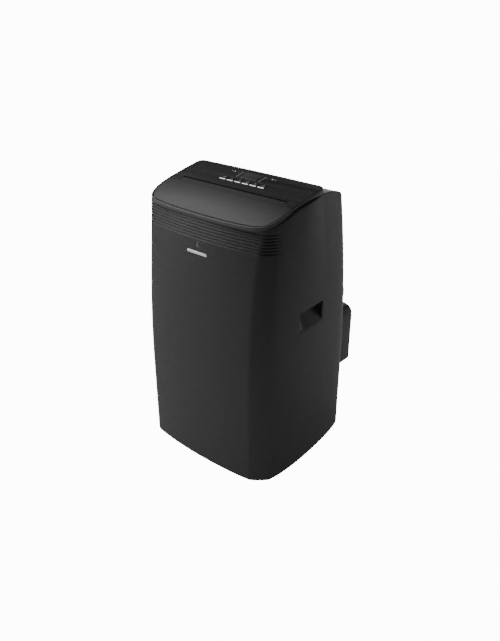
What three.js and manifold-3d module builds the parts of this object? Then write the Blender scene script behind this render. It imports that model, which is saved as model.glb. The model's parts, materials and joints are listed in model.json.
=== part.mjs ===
// Portable air conditioner on casters, with a lifting air flap, a key panel and a rear hose adapter.
// Millimetres, +X to the right, +Y to the back, +Z up. The floor is z = 0.
// Inside this file every piece is placed in the cabinet's own frame, where y = 0 lies between the
// front and rear walls. The whole group is shifted at the end, so that the origin is under the
// middle of the part's box.

import * as THREE from 'three';
import { mergeVertices } from 'three/addons/utils/BufferGeometryUtils.js';
import Module from 'manifold-3d';

const wasm = await Module();
wasm.setup();

// ---------------------------------------------------------------- driving dimensions

const CLEARANCE = 20;            // floor to the cabinet's lower edge
const FRONT = -175;              // middle of the front wall, at the bottom
const REAR = 225;                // rear wall, at the bottom
const WALL = 3;                  // moulded wall
const GAP = 0.4;                 // between pieces that sit in each other
const SLIVER = 0.06;             // edges shorter than this are closed up after the cuts
const SEAM_Y = 212;              // front and rear housings meet here, on the rear corners
const LEAN_START = 245;          // the walls are upright below this height
const LEAN_TOP = 710;            // and lean in fully at this height
const LEAN_Y = 36;               // how far the front and rear walls lean in
const LEAN_X = 0.034;            // share of its width that the cabinet loses

const PANEL_SLOPE = 0.207;       // control panel, rise per length
const PANEL_FRONT = -22;         // line between the panel and the flap
const PANEL_FRONT_Z = 739;       // height of the top surface on that line
const FLAP_CURVE = 0.0009;       // the flap drops away from the panel's plane by this times y squared
const PLATE = 3.8;               // thickness of the panel and the flap
const POCKET = 4.1;              // depth of the pocket that they lie in
const RIM = 4.5;                 // width of the raised rim round them
const RIM_GAP = 0.9;             // between the rim and the plates in it

const HINGE_Y = -27.5;           // flap's axis
const HINGE_DEPTH = 3.8;         // below the top surface
const BARREL_R = 3.6;
const FLAP_PIN_R = 1.8;
const LUG_X = [168.6, 177.5];    // the panel's hinge lugs, on each side

const KEY_COUNT = 6;
const KEY_PITCH = 25;
const KEY = 21;                  // side of a square key
const KEY_Y = 14;
const WINDOW = { w: 52, d: 28, y: 44 };

const RIB_COUNT = 7;
const RIB_PITCH = 7.3;
const RIB_TOP = 692;

const OUTLET = { x: 150, y0: -120, y1: -48 };
const VANE_COUNT = 5;
const VANE_PITCH = 58;
const VANE_Y = -84;
const VANE = { length: 54, thickness: 2, z0: 675, z1: 700 };
const LINK_ARM = 20;             // from a vane's axis back to its link pin

const HANDLE = { y0: -30, y1: 73, z0: 416, z1: 473, depth: 26, r: 9 };
const EXHAUST = { x: 76, z: 271, bore: 72, box: 178, y0: 227, y1: 300 };
const RECEIVER = { x: 0, z: 630, r: 6.5, depth: 7 };
const BADGE = { x: 0, z: 610, w: 68, h: 9, r: 4.4 };
const UPPER_GRILLE = { x0: -165, x1: 165, z0: 446, z1: 668 };
const LOWER_GRILLE = { x0: -182, x1: -34, z0: 110, z1: 390 };

const COLLAR = { outer: 67, inner: 61, flange: 76 };
const DRAINS = { lower_drain_plug: [90, 48], upper_drain_plug: [-120, 425] };
const PLUG_R = 8;
const GLAND = { x: 150, z: 128, r: 9 };

const CASTER = { x: 150, front: -108, rear: 158, r: 18, trail: 13, well: 36, wellTop: 52 };
const DECK_Z = 410;              // partition between the hot and the cold half

const COLD_FAN = { x: -40, z: 530, r: 78, y0: -116, y1: -14 };
const HOT_FAN = { y: 60, z: 217, r: 78, x0: 20, x1: 132 };
const COMPRESSOR = { x: -108, y: -60, r: 58, z0: 62, z1: 296, feet: 3, footReach: 76 };

// ---------------------------------------------------------------- materials

const finish = (color, roughness, metalness = 0) => () =>
  new THREE.MeshStandardMaterial({ color, roughness, metalness });
const housingGrey = finish(0x3a3b3c, 0.5);
const flapGrey = finish(0x55575a, 0.42);
const panelBlack = finish(0x303133, 0.3);
const trimGrey = finish(0x46484a, 0.45);
const rearGrey = finish(0x2f3031, 0.55);
const keyBlack = finish(0x2a2b2d, 0.35);
const displayBlack = finish(0x6c6f72, 0.15);
const boardGreen = finish(0x24553a, 0.5);
const silver = finish(0xd9dadb, 0.25, 0.8);
const innerWhite = finish(0xd8d8d4, 0.6);
const innerBlack = finish(0x1c1c1d, 0.6);
const meshGrey = finish(0x8a8f92, 0.8);
const galvanised = finish(0x9fa3a6, 0.4, 0.9);
const coilAluminium = finish(0xb9bcbe, 0.35, 0.9);
const copper = finish(0xb87333, 0.3, 0.9);
const compressorBlack = finish(0x18191a, 0.4);
const rubberBlack = finish(0x151515, 0.9);
const casterGrey = finish(0x3c3d3e, 0.6);

// ---------------------------------------------------------------- building blocks

const cabinet = new THREE.Group();

function toSolid(geometry) {
  const plain = geometry.clone();
  plain.deleteAttribute('normal');
  plain.deleteAttribute('uv');
  const merged = mergeVertices(plain, 1e-4);
  return new wasm.Manifold(new wasm.Mesh({
    numProp: 3,
    vertProperties: new Float32Array(merged.attributes.position.array),
    triVerts: new Uint32Array(merged.index.array),
  }));
}

function add(name, solid, material) {
  const mesh = solid.simplify(SLIVER).getMesh();
  const geometry = new THREE.BufferGeometry();
  geometry.setAttribute('position', new THREE.BufferAttribute(mesh.vertProperties, 3));
  geometry.setIndex(new THREE.BufferAttribute(mesh.triVerts, 1));
  geometry.computeVertexNormals();
  const piece = new THREE.Mesh(geometry, material());
  piece.name = name;
  cabinet.add(piece);
}

// Basis for a profile drawn in the (y, z) plane and pushed along +X.
const ALONG_X = new THREE.Matrix4().makeBasis(
  new THREE.Vector3(0, 1, 0), new THREE.Vector3(0, 0, 1), new THREE.Vector3(1, 0, 0));

function extrude(shape, depth, steps, curveSegments) {
  return new THREE.ExtrudeGeometry(shape, { depth, steps, curveSegments, bevelEnabled: false });
}

// A plan outline pushed up from z0 to z1.
const upright = (shape, z0, z1, steps = 1, segments = 8) =>
  extrude(shape, z1 - z0, steps, segments).translate(0, 0, z0);

// A (y, z) profile pushed across from x0 to x1.
const across = (shape, x0, x1, segments = 8) =>
  extrude(shape, x1 - x0, 1, segments).applyMatrix4(ALONG_X).translate(x0, 0, 0);

// An (x, z) outline pushed back from y0 to y1.
const rearward = (shape, y0, y1, segments = 8) =>
  extrude(shape, y1 - y0, 1, segments).rotateX(Math.PI / 2).translate(0, y1, 0);

function box(x0, x1, y0, y1, z0, z1, zSegments = 1) {
  const block = new THREE.BoxGeometry(x1 - x0, y1 - y0, z1 - z0, 1, 1, zSegments);
  return block.translate((x0 + x1) / 2, (y0 + y1) / 2, (z0 + z1) / 2);
}

const solidBox = (...sides) => toSolid(box(...sides));

const AXES = {
  x: (g) => g.rotateZ(-Math.PI / 2),
  y: (g) => g,
  z: (g) => g.rotateX(Math.PI / 2),
};

// A round bar along an axis, by its two ends.
function bar(axis, r, from, to, at, segments = 20) {
  const g = AXES[axis](new THREE.CylinderGeometry(r, r, to - from, segments));
  const middle = { x: at[0], y: at[1], z: at[2] };
  middle[axis] = (from + to) / 2;
  return toSolid(g.translate(middle.x, middle.y, middle.z));
}

function roundedRect(x0, x1, y0, y1, r, rTop = r) {
  const shape = new THREE.Shape();
  shape.moveTo(x0 + r, y0);
  shape.lineTo(x1 - r, y0);
  shape.absarc(x1 - r, y0 + r, r, -Math.PI / 2, 0);
  shape.lineTo(x1, y1 - rTop);
  shape.absarc(x1 - rTop, y1 - rTop, rTop, 0, Math.PI / 2);
  shape.lineTo(x0 + rTop, y1);
  shape.absarc(x0 + rTop, y1 - rTop, rTop, Math.PI / 2, Math.PI);
  shape.lineTo(x0, y0 + r);
  shape.absarc(x0 + r, y0 + r, r, Math.PI, Math.PI * 1.5);
  return shape;
}

const joined = (solids) => solids.reduce((whole, solid) => whole.add(solid));
const without = (solid, cuts) => cuts.reduce((rest, cut) => rest.subtract(cut), solid);

// ---------------------------------------------------------------- the cabinet's form

// The cabinet narrows towards the top: front and rear lean in, and the sides follow a little.
function leanShare(z) {
  const up = THREE.MathUtils.clamp((z - LEAN_START) / (LEAN_TOP - LEAN_START), 0, 1.1);
  return up * up;
}

function leanedPoint(x, y, z) {
  const side = THREE.MathUtils.clamp((20 - y) / 80, -1, 1);
  return [x * (1 - LEAN_X * leanShare(z)), y + LEAN_Y * leanShare(z) * side, z];
}

function lean(geometry) {
  const place = geometry.attributes.position;
  for (let i = 0; i < place.count; i += 1) {
    place.setXYZ(i, ...leanedPoint(place.getX(i), place.getY(i), place.getZ(i)));
  }
  return geometry;
}

// Half outlines run from the middle of the front round the right side to the middle of the rear.
// divisions gives the number of chords on each of their curves.
function mirrored(path, divisions) {
  const half = path.curves.flatMap((curve, i) => curve.getPoints(divisions[i]).slice(i ? 1 : 0));
  const left = half.slice(1, -1).reverse().map((p) => new THREE.Vector2(-p.x, p.y));
  return half.concat(left);
}

// Moves each point of a closed outline inwards along its normal.
function inset(points, distance) {
  return points.map((point, i) => {
    const before = points[(i + points.length - 1) % points.length];
    const after = points[(i + 1) % points.length];
    const into = new THREE.Vector2().subVectors(point, before).normalize();
    const out = new THREE.Vector2().subVectors(after, point).normalize();
    const along = into.clone().add(out).normalize();
    const widen = 1 / Math.max(along.dot(into), 0.5);
    return new THREE.Vector2(point.x - along.y * distance * widen, point.y + along.x * distance * widen);
  });
}

function cabinetOutline() {
  const half = new THREE.Path();
  half.moveTo(0, FRONT);
  half.quadraticCurveTo(95, FRONT, 170, -163);
  half.quadraticCurveTo(191, -156, 210.4, -129);
  half.bezierCurveTo(229, -70, 219, 95, 202, 180);
  half.quadraticCurveTo(193, REAR, 165, REAR);
  half.lineTo(0, REAR);
  return mirrored(half, [3, 4, 5, 4, 1]);
}

// Plan of the raised shield that holds the control panel and the flap.
function shieldOutline() {
  const half = new THREE.Path();
  half.moveTo(0, -144);
  half.quadraticCurveTo(95, -144, 150, -137.5);
  half.bezierCurveTo(190, -132, 200, -110, 204, -74);
  half.bezierCurveTo(206, -40, 206, 20, 204.5, 56);
  half.quadraticCurveTo(204, 74, 186, 75);
  half.lineTo(0, 77);
  return mirrored(half, [3, 6, 4, 4, 1]);
}

const cabinetPlan = cabinetOutline();
const shieldPlan = shieldOutline();

// Height of the shield's top surface: a flat panel, and a flap that curves down to the front.
function shieldTop(y) {
  const ahead = Math.min(y - PANEL_FRONT, 0);
  return PANEL_FRONT_Z + PANEL_SLOPE * (y - PANEL_FRONT) - FLAP_CURVE * ahead * ahead;
}

// Height of the cabinet walls' top edge, front to rear.
const wallTop = new THREE.SplineCurve([
  [-200, 688], [-141, 693.5], [-115, 704], [-75, 718], [-35, 731], [13, 738.5],
  [62, 742.6], [105, 741], [135, 734.5], [165, 722.5], [195, 703], [250, 655],
].map(([y, z]) => new THREE.Vector2(y, z)));
const wallTopPoints = wallTop.getPoints(16);
const shieldTopPoints = [-160, -130, -100, -75, -50, PANEL_FRONT, 100]
  .map((y) => new THREE.Vector2(y, shieldTop(y)));

// Everything between two heights over an edge that is given by points from front to rear.
function band(points, low, high) {
  const lower = points.map((p) => new THREE.Vector2(p.x, p.y + low));
  const upper = points.map((p) => new THREE.Vector2(p.x, p.y + high)).reverse();
  return toSolid(across(new THREE.Shape(lower.concat(upper)), -260, 260));
}

const cabinetSpace = (insetBy, z0, z1, steps = 10) =>
  toSolid(lean(upright(new THREE.Shape(inset(cabinetPlan, insetBy)), z0, z1, steps)));
const shieldSpace = (insetBy) =>
  toSolid(upright(new THREE.Shape(inset(shieldPlan, insetBy)), 640, 790));

const FAR = 260;
const aboveWalls = band(wallTopPoints, 0, 200);
const behindSeam = (y) => toSolid(lean(box(-FAR, FAR, y, FAR + 20, 0, 790, 12)));

// ---------------------------------------------------------------- housings

const shell = without(
  cabinetSpace(0, CLEARANCE, 755, 8), [cabinetSpace(WALL, CLEARANCE - 5, 760, 8), aboveWalls]);

// Seven horizontal grooves make the ridges across the upper front. They run out on the sides.
function ribGrooves() {
  const outer = inset(cabinetPlan, -2);
  const inner = inset(cabinetPlan, 1.3);
  const ring = new THREE.Shape(outer);
  ring.holes.push(new THREE.Path(inner));
  const behindRibs = solidBox(-FAR, FAR, -86, FAR, 0, 790);
  const grooves = [];
  for (let i = 0; i < RIB_COUNT; i += 1) {
    const z = RIB_TOP - i * RIB_PITCH;
    grooves.push(toSolid(lean(upright(ring, z - 2.4, z))).subtract(behindRibs));
  }
  return grooves;
}

const handleOpening = across(
  roundedRect(HANDLE.y0, HANDLE.y1, HANDLE.z0, HANDLE.z1, HANDLE.r), 180, FAR);
const receiverHole = bar('y', RECEIVER.r, -190, -130, [RECEIVER.x, 0, RECEIVER.z]);

add('front_housing', without(shell, [
  behindSeam(SEAM_Y),
  toSolid(handleOpening),
  toSolid(handleOpening).mirror([1, 0, 0]),
  receiverHole,
  ...ribGrooves(),
]), housingGrey);

const grilleOpening = (g) => solidBox(g.x0, g.x1, 150, FAR, g.z0, g.z1);

const collarHole = solidBox(
  EXHAUST.x - COLLAR.outer - GAP, EXHAUST.x + COLLAR.outer + GAP, 150, FAR,
  EXHAUST.z - COLLAR.outer - GAP, EXHAUST.z + COLLAR.outer + GAP);

add('rear_housing', without(shell.intersect(behindSeam(SEAM_Y + GAP)), [
  grilleOpening(UPPER_GRILLE),
  grilleOpening(LOWER_GRILLE),
  collarHole,
  bar('y', GLAND.r, 190, FAR, [GLAND.x, 0, GLAND.z]),
  ...Object.values(DRAINS).map(([x, z]) => bar('y', PLUG_R, 190, FAR, [x, 0, z])),
]), rearGrey);

// ---------------------------------------------------------------- base and casters

const casterPlaces = [
  [-CASTER.x, CASTER.front], [CASTER.x, CASTER.front], [-CASTER.x, CASTER.rear], [CASTER.x, CASTER.rear]];
const BASE = { z0: 22, floor: 26, z1: 64 };
const footPlaces = Array.from({ length: COMPRESSOR.feet }, (_, i) => {
  const turn = 2 * Math.PI * (i + 0.25) / COMPRESSOR.feet;
  return [COMPRESSOR.x - COMPRESSOR.footReach * Math.sin(turn),
    COMPRESSOR.y + COMPRESSOR.footReach * Math.cos(turn), turn];
});
const atEachCaster = (r, z0, z1, segments) =>
  casterPlaces.map(([x, y]) => bar('z', r, z0, z1, [x, y, 0], segments));
const casterWells = atEachCaster(CASTER.well + 3, BASE.z0, CASTER.wellTop + 3, 18);
const wellHollows = atEachCaster(CASTER.well, 0, CASTER.wellTop, 18);
const stemHoles = atEachCaster(4.4, 0, 62, 10);

add('base_tray', without(
  joined([
    cabinetSpace(WALL + GAP, BASE.z0, BASE.z1, 1)
      .subtract(cabinetSpace(2 * WALL + GAP, BASE.floor, BASE.z1 + 10, 1)),
    ...casterWells,
    ...footPlaces.map(([x, y]) => bar('z', 9, BASE.floor - 1, COMPRESSOR.z0 + 3.6, [x, y, 0], 12)),
  ]), [
    ...wellHollows,
    ...stemHoles,
    bar('y', PLUG_R + 0.2, 190, FAR, [DRAINS.lower_drain_plug[0], 0, DRAINS.lower_drain_plug[1]]),
  ]), innerBlack);

// Each caster is a fork that swivels on its stem, and a wheel on the fork's axle.
function caster(index, x, y) {
  const axleY = y + CASTER.trail;
  const cheek = new THREE.Shape();
  cheek.moveTo(y - 11, CASTER.wellTop - 10);
  cheek.lineTo(axleY - 7, CASTER.r);
  cheek.absarc(axleY, CASTER.r, 7, Math.PI, 2 * Math.PI);
  cheek.lineTo(y + 12, CASTER.wellTop - 10);
  const fork = without(
    joined([
      bar('z', 15, CASTER.wellTop - 13, CASTER.wellTop - 4, [x, y, 0], 16),
      bar('z', 4, CASTER.wellTop - 5, 60, [x, y, 0], 12),
      toSolid(across(cheek, x - 15, x - 11.5, 4)),
      toSolid(across(cheek, x + 11.5, x + 15, 4)),
      bar('x', 3, x - 13, x + 13, [0, axleY, CASTER.r], 10),
    ]), [bar('x', CASTER.r + 2.2, x - 11.5, x + 11.5, [0, axleY, CASTER.r], 20)
      .subtract(bar('x', 3, x - 15, x + 15, [0, axleY, CASTER.r], 10))]);
  add(`caster_fork_${index}`, fork, casterGrey);
  const tread = [[3.3, -10], [15, -10], [CASTER.r, -7], [CASTER.r, 7], [15, 10], [3.3, 10], [3.3, -10]]
    .map(([r, h]) => new THREE.Vector2(r, h));
  const wheel = new THREE.LatheGeometry(tread, 24);
  wheel.rotateZ(-Math.PI / 2);
  wheel.translate(x, axleY, CASTER.r);
  add(`caster_wheel_${index}`, toSolid(wheel), rubberBlack);
}

casterPlaces.forEach(([x, y], i) => caster(i + 1, x, y));

// ---------------------------------------------------------------- top cover, panel and flap

const outletOpening = solidBox(-OUTLET.x, OUTLET.x, OUTLET.y0, OUTLET.y1, 600, 790);
const lugBox = (grow) => [-1, 1].map((side) => {
  const [a, b] = LUG_X.map((x) => side * x).sort((p, q) => p - q);
  return solidBox(a - grow, b + grow, HINGE_Y - 4.5 - grow, HINGE_Y + 4.5 + grow, 724 - grow, 737);
});
const hingeZ = shieldTop(HINGE_Y) - HINGE_DEPTH;
const panelCavity = solidBox(-150, 150, -8, 62, 600, 790);

const insideWalls = cabinetSpace(WALL + 2 * GAP, 600, 790, 4);
const deckLow = band(wallTopPoints, -3.5, 80);
const shieldBlock = shieldSpace(0)
  .subtract(band(shieldTopPoints, 0, 200))
  .intersect(joined([insideWalls.intersect(deckLow), band(wallTopPoints, GAP, 80)]));
const coverDeck = insideWalls.intersect(band(wallTopPoints, -3.5, -0.8));

add('top_cover', without(joined([shieldBlock, coverDeck]), [
  shieldSpace(RIM).intersect(band(shieldTopPoints, -POCKET, 100)),
  shieldSpace(RIM + 6).intersect(solidBox(-FAR, FAR, -126, 70, 600, 790))
    .subtract(band(shieldTopPoints, -POCKET - 3, 200)),
  outletOpening,
  panelCavity,
  ...lugBox(0.6),
  bar('x', BARREL_R + 0.7, -LUG_X[0] - 1, LUG_X[0] + 1, [0, HINGE_Y, hingeZ], 16),
]), trimGrey);

const plateSpace = shieldSpace(RIM + RIM_GAP)
  .intersect(band(shieldTopPoints, -PLATE, 0));
const TAB = { x: 168.5, y: -43 };
const behindLine = (y) => solidBox(-FAR, FAR, y, FAR, 600, 790);
const tabSpace = (grow) => [
  solidBox(-FAR, -TAB.x + grow, TAB.y - grow, 0, 600, 790),
  solidBox(TAB.x - grow, FAR, TAB.y - grow, 0, 600, 790)];

const keyX = (i) => (i - (KEY_COUNT - 1) / 2) * KEY_PITCH;
const panelTilt = Math.atan(PANEL_SLOPE);

// A block that lies in the panel's plane: centre, size, and its top's height over the surface.
function onPanel(x, y, w, d, top, thickness) {
  const block = new THREE.BoxGeometry(w, d, thickness);
  block.translate(0, 0, top - thickness / 2);
  block.rotateX(panelTilt);
  return toSolid(block.translate(x, y, shieldTop(y)));
}

const keyHoles = Array.from({ length: KEY_COUNT }, (_, i) =>
  onPanel(keyX(i), KEY_Y, KEY + 0.8, KEY + 0.8, 20, 40));
const windowHole = onPanel(0, WINDOW.y, WINDOW.w + 0.8, WINDOW.d + 0.8, 20, 40);

add('control_panel', without(
  joined([
    plateSpace.intersect(joined([behindLine(PANEL_FRONT + 0.4), ...tabSpace(0)])),
    ...lugBox(0).map((lug) => lug.subtract(band(shieldTopPoints, -1, 100))),
  ]), [...keyHoles, windowHole, bar('x', FLAP_PIN_R + 0.35, -174.5, 174.5, [0, HINGE_Y, hingeZ], 12)]),
panelBlack);

add('display_window', onPanel(0, WINDOW.y, WINDOW.w, WINDOW.d, 0.2, 3.4), displayBlack);

for (let i = 0; i < KEY_COUNT; i += 1) {
  add(`key_${i + 1}`, onPanel(keyX(i), KEY_Y, KEY, KEY, 0.5, 3), keyBlack);
}

add('key_board', onPanel(0, 27, 200, 58, -6, 1.6), boardGreen);

const flapPlate = without(plateSpace, [behindLine(HINGE_Y), ...tabSpace(0.9)]);
const barrel = bar('x', BARREL_R, -LUG_X[0] + 0.8, LUG_X[0] - 0.8, [0, HINGE_Y, hingeZ], 16);
const flapPins = bar('x', FLAP_PIN_R, -173.5, 173.5, [0, HINGE_Y, hingeZ], 12);
add('air_flap', joined([
  flapPlate,
  barrel.intersect(joined([band(shieldTopPoints, -20, 0)])),
  flapPins,
]), flapGrey);

// ---------------------------------------------------------------- front details

const onFront = cabinetSpace(-1.2, 500, 700, 8);
add('receiver_window', bar('y', RECEIVER.r - GAP, -190, -140, [RECEIVER.x, 0, RECEIVER.z])
  .intersect(cabinetSpace(-0.5, 500, 700, 8))
  .subtract(cabinetSpace(RECEIVER.depth, 500, 700, 8)), displayBlack);

const badgeShape = roundedRect(
  BADGE.x - BADGE.w / 2, BADGE.x + BADGE.w / 2, BADGE.z - BADGE.h / 2, BADGE.z + BADGE.h / 2, BADGE.r);
add('front_badge', toSolid(rearward(badgeShape, -190, -120)).intersect(onFront)
  .subtract(cabinetSpace(-0.05, 500, 700, 8)), silver);

// ---------------------------------------------------------------- air outlet

// A box whose lower and upper rims differ.
function funnel(low, high, z0, z1) {
  const g = box(0, 1, 0, 1, z0, z1);
  const place = g.attributes.position;
  for (let i = 0; i < place.count; i += 1) {
    const rim = place.getZ(i) > (z0 + z1) / 2 ? high : low;
    place.setX(i, rim[place.getX(i) > 0.5 ? 1 : 0]);
    place.setY(i, rim[place.getY(i) > 0.5 ? 3 : 2]);
  }
  return toSolid(g);
}

const DUCT = { z0: 618, shoulder: 664, z1: 760 };
const scrollMouth = [COLD_FAN.x + 8, COLD_FAN.x + 112, COLD_FAN.y0 + 3, COLD_FAN.y1 - 3];
const ductMouth = [-OUTLET.x, OUTLET.x, OUTLET.y0, OUTLET.y1];
const grown = ([a, b, c, d], by) => [a - by, b + by, c - by, d + by];
const ductBody = (by) => joined([
  funnel(grown(scrollMouth, by), grown(ductMouth, by), DUCT.z0 - (by ? 0 : 1), DUCT.shoulder),
  solidBox(...grown(ductMouth, by), DUCT.shoulder - 0.01, DUCT.z1),
]);
const vaneX = (i) => (i - (VANE_COUNT - 1) / 2) * VANE_PITCH;
const vaneBar = solidBox(-OUTLET.x - 1, OUTLET.x + 1, VANE_Y - 4, VANE_Y + 4, 668, 672);
add('outlet_duct', joined([
  ductBody(2.4).subtract(ductBody(0)).subtract(band(shieldTopPoints, -POCKET - 3 - GAP, 200)),
  without(vaneBar, Array.from({ length: VANE_COUNT }, (_, i) =>
    bar('z', 2.3, 600, 700, [vaneX(i), VANE_Y, 0], 12))),
]), innerBlack);

for (let i = 0; i < VANE_COUNT; i += 1) {
  const x = vaneX(i);
  const half = VANE.thickness / 2;
  add(`guide_vane_${i + 1}`, joined([
    solidBox(x - half, x + half, VANE_Y - VANE.length / 2, VANE_Y + VANE.length / 2, VANE.z0, VANE.z1),
    bar('z', 3, VANE.z0 - 2, VANE.z1 - 4, [x, VANE_Y, 0], 12),
    bar('z', 2, 669, VANE.z0 + 1, [x, VANE_Y, 0], 12),
    bar('z', 1.5, VANE.z1 - 4, VANE.z1 + 4.5, [x, VANE_Y + LINK_ARM, 0], 10),
  ]), innerBlack);
}

const LINK = { z0: VANE.z1 + 0.8, z1: VANE.z1 + 3.6, half: 5.5 };
const linkEnd = vaneX(VANE_COUNT - 1) + 8;
const linkY = VANE_Y + LINK_ARM - 1;
add('vane_link', without(
  solidBox(-linkEnd, linkEnd, linkY - LINK.half, linkY + LINK.half, LINK.z0, LINK.z1),
  Array.from({ length: VANE_COUNT }, (_, i) =>
    solidBox(vaneX(i) - 2.1, vaneX(i) + 2.1, linkY - 3.4, linkY + 3.4, 690, 720))),
innerBlack);

add('flap_motor', joined([
  bar('x', 11, -200, -184, [0, -62, 700], 20),
  solidBox(-198, -186, -64, -60, 698, 716),
]), innerWhite);

// ---------------------------------------------------------------- handles

function handlePocket() {
  const hole = roundedRect(
    HANDLE.y0 + GAP, HANDLE.y1 - GAP, HANDLE.z0 + GAP, HANDLE.z1 - GAP, HANDLE.r - GAP);
  const scoop = new THREE.Shape();
  scoop.moveTo(FAR, HANDLE.z0 + 3);
  scoop.lineTo(216, HANDLE.z0 + 3);
  scoop.lineTo(216 - HANDLE.depth, HANDLE.z1 - 12);
  scoop.lineTo(216 - HANDLE.depth, HANDLE.z1 - 3);
  scoop.lineTo(FAR, HANDLE.z1 - 3);
  const cup = toSolid(across(hole, 186, FAR)).intersect(cabinetSpace(0, 300, 600, 8));
  return cup.subtract(toSolid(rearward(scoop, HANDLE.y0 + 3, HANDLE.y1 - 3)));
}

add('right_handle', handlePocket(), housingGrey);
add('left_handle', handlePocket().mirror([1, 0, 0]), housingGrey);

// ---------------------------------------------------------------- intake filters

// A louvred frame that fills an opening of the rear wall, flush with its outside.
function louvredFrame(g, barCount, columns) {
  const rim = 9;
  const y0 = REAR - 5;
  const [x0, x1, z0, z1] = [g.x0 + GAP, g.x1 - GAP, g.z0 + GAP, g.z1 - GAP];
  const pitch = (z1 - z0 - 2 * rim) / (barCount + 1);
  const pieces = [
    box(x0, x0 + rim, y0, REAR, z0, z1, 6),
    box(x1 - rim, x1, y0, REAR, z0, z1, 6),
    box(x0, x1, y0, REAR, z0, z0 + rim),
    box(x0, x1, y0, REAR, z1 - rim, z1),
  ];
  for (let i = 1; i <= barCount; i += 1) {
    const z = z0 + rim + i * pitch;
    pieces.push(box(x0 + 1, x1 - 1, y0 + 1, REAR - 0.6, z - 2, z + 2));
  }
  for (let i = 1; i <= columns; i += 1) {
    const x = x0 + (x1 - x0) * i / (columns + 1);
    pieces.push(box(x - 2, x + 2, y0, REAR - 1.6, z0 + 1, z1 - 1, 6));
  }
  return joined(pieces.map((piece) => toSolid(lean(piece))));
}

// A thin panel of filter netting that clips to the back of the louvres and comes out with them.
function filterPanel(g) {
  const y1 = REAR - 5 - GAP;
  const edge = 3;
  const sheet = lean(box(g.x0 + edge, g.x1 - edge, y1 - 2, y1, g.z0 + edge, g.z1 - edge, 6));
  return toSolid(sheet);
}

add('upper_grille', louvredFrame(UPPER_GRILLE, 12, 2), rearGrey);
add('upper_filter', filterPanel(UPPER_GRILLE), meshGrey);
add('lower_grille', louvredFrame(LOWER_GRILLE, 15, 1), rearGrey);
add('lower_filter', filterPanel(LOWER_GRILLE), meshGrey);

// ---------------------------------------------------------------- exhaust

const squareTube = (outer, inner, y0, y1) => solidBox(
  EXHAUST.x - outer, EXHAUST.x + outer, y0, y1, EXHAUST.z - outer, EXHAUST.z + outer)
  .subtract(solidBox(
    EXHAUST.x - inner, EXHAUST.x + inner, y0 - 1, y1 + 1, EXHAUST.z - inner, EXHAUST.z + inner));

add('exhaust_collar', joined([
  squareTube(COLLAR.outer, COLLAR.inner, 219.4, 236),
  squareTube(COLLAR.flange, COLLAR.outer - 1, REAR + GAP, REAR + 3),
]), rearGrey);

const half = EXHAUST.box / 2;
const adapterOutline = roundedRect(
  EXHAUST.x - half, EXHAUST.x + half, EXHAUST.z - half, EXHAUST.z + half, 9, 28);
add('hose_adapter', without(toSolid(rearward(adapterOutline, EXHAUST.y0, EXHAUST.y1, 6)), [
  solidBox(EXHAUST.x - 80, EXHAUST.x + 80, 200, 262, EXHAUST.z - 80, EXHAUST.z + 80),
  bar('y', EXHAUST.bore, 200, 320, [EXHAUST.x, 0, EXHAUST.z], 30),
  bar('y', EXHAUST.bore + 6, 268, 294, [EXHAUST.x, 0, EXHAUST.z], 30),
]), trimGrey);

// ---------------------------------------------------------------- drains, gland, cord hooks

function wallY(z) {
  return leanedPoint(0, REAR, z)[1];
}

for (const [name, [x, z]] of Object.entries(DRAINS)) {
  add(name, joined([
    bar('y', PLUG_R + 4, wallY(z) + GAP, wallY(z) + 6, [x, 0, z], 20),
    bar('y', PLUG_R - GAP, wallY(z) - 12, wallY(z) + 3, [x, 0, z], 20),
  ]), rubberBlack);
}

add('cord_gland', joined([
  bar('y', GLAND.r + 4, REAR + GAP, REAR + 6, [GLAND.x, 0, GLAND.z], 20),
  bar('y', GLAND.r - GAP, REAR - 10, REAR + 9, [GLAND.x, 0, GLAND.z], 20),
]).subtract(bar('y', 4.5, REAR - 20, REAR + 20, [GLAND.x, 0, GLAND.z], 12)), rubberBlack);

function cordHook(name, z, towards) {
  const y = wallY(z);
  add(name, joined([
    solidBox(125, 175, y + GAP, y + 4, z - 9, z + 9),
    solidBox(135, 165, y + 3, y + 26, z - 4, z + 4),
    solidBox(135, 165, y + 21, y + 26, Math.min(z, z + 18 * towards), Math.max(z, z + 18 * towards)),
  ]), rearGrey);
}

cordHook('upper_cord_hook', 412, 1);
cordHook('lower_cord_hook', 160, -1);

// ---------------------------------------------------------------- fans

// Spiral housing drawn about its axis. The wall grows from the cut-off round to the mouth.
function spiral(r0, r1, mouthLength, grow) {
  const turns = 24;
  const points = [];
  for (let i = 0; i <= turns; i += 1) {
    const share = i / turns;
    const angle = Math.PI / 2 + share * 1.5 * Math.PI;
    const r = r0 + (r1 - r0) * share + grow;
    points.push(new THREE.Vector2(r * Math.cos(angle), r * Math.sin(angle)));
  }
  points.push(new THREE.Vector2(r1 + grow, mouthLength));
  points.push(new THREE.Vector2(8 - grow, mouthLength));
  points.push(new THREE.Vector2(8 - grow, r0 + grow));
  return new THREE.Shape(points);
}

// Squirrel-cage wheel about +Z, from z = 0 (its closed back) to z = width, with its shaft behind.
function cageWheel(r, width, shaft) {
  const blades = 14;
  const ring = new THREE.Shape();
  ring.absarc(0, 0, r, 0, 2 * Math.PI);
  const hole = new THREE.Path();
  hole.absarc(0, 0, r - 13, 0, 2 * Math.PI);
  ring.holes.push(hole);
  const pieces = [
    bar('z', r, 0, 2.5, [0, 0, 0], 24),
    bar('z', 11, 0, 26, [0, 0, 0], 16),
    bar('z', 4, -shaft, 4, [0, 0, 0], 12),
    toSolid(upright(ring, width - 3, width, 1, 12)),
  ];
  for (let i = 0; i < blades; i += 1) {
    const blade = box(-1, 1, -6, 6, 1, width - 1).rotateZ(0.6).translate(r - 7, 0, 0);
    pieces.push(toSolid(blade.rotateZ(2 * Math.PI * i / blades)));
  }
  return joined(pieces);
}

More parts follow.
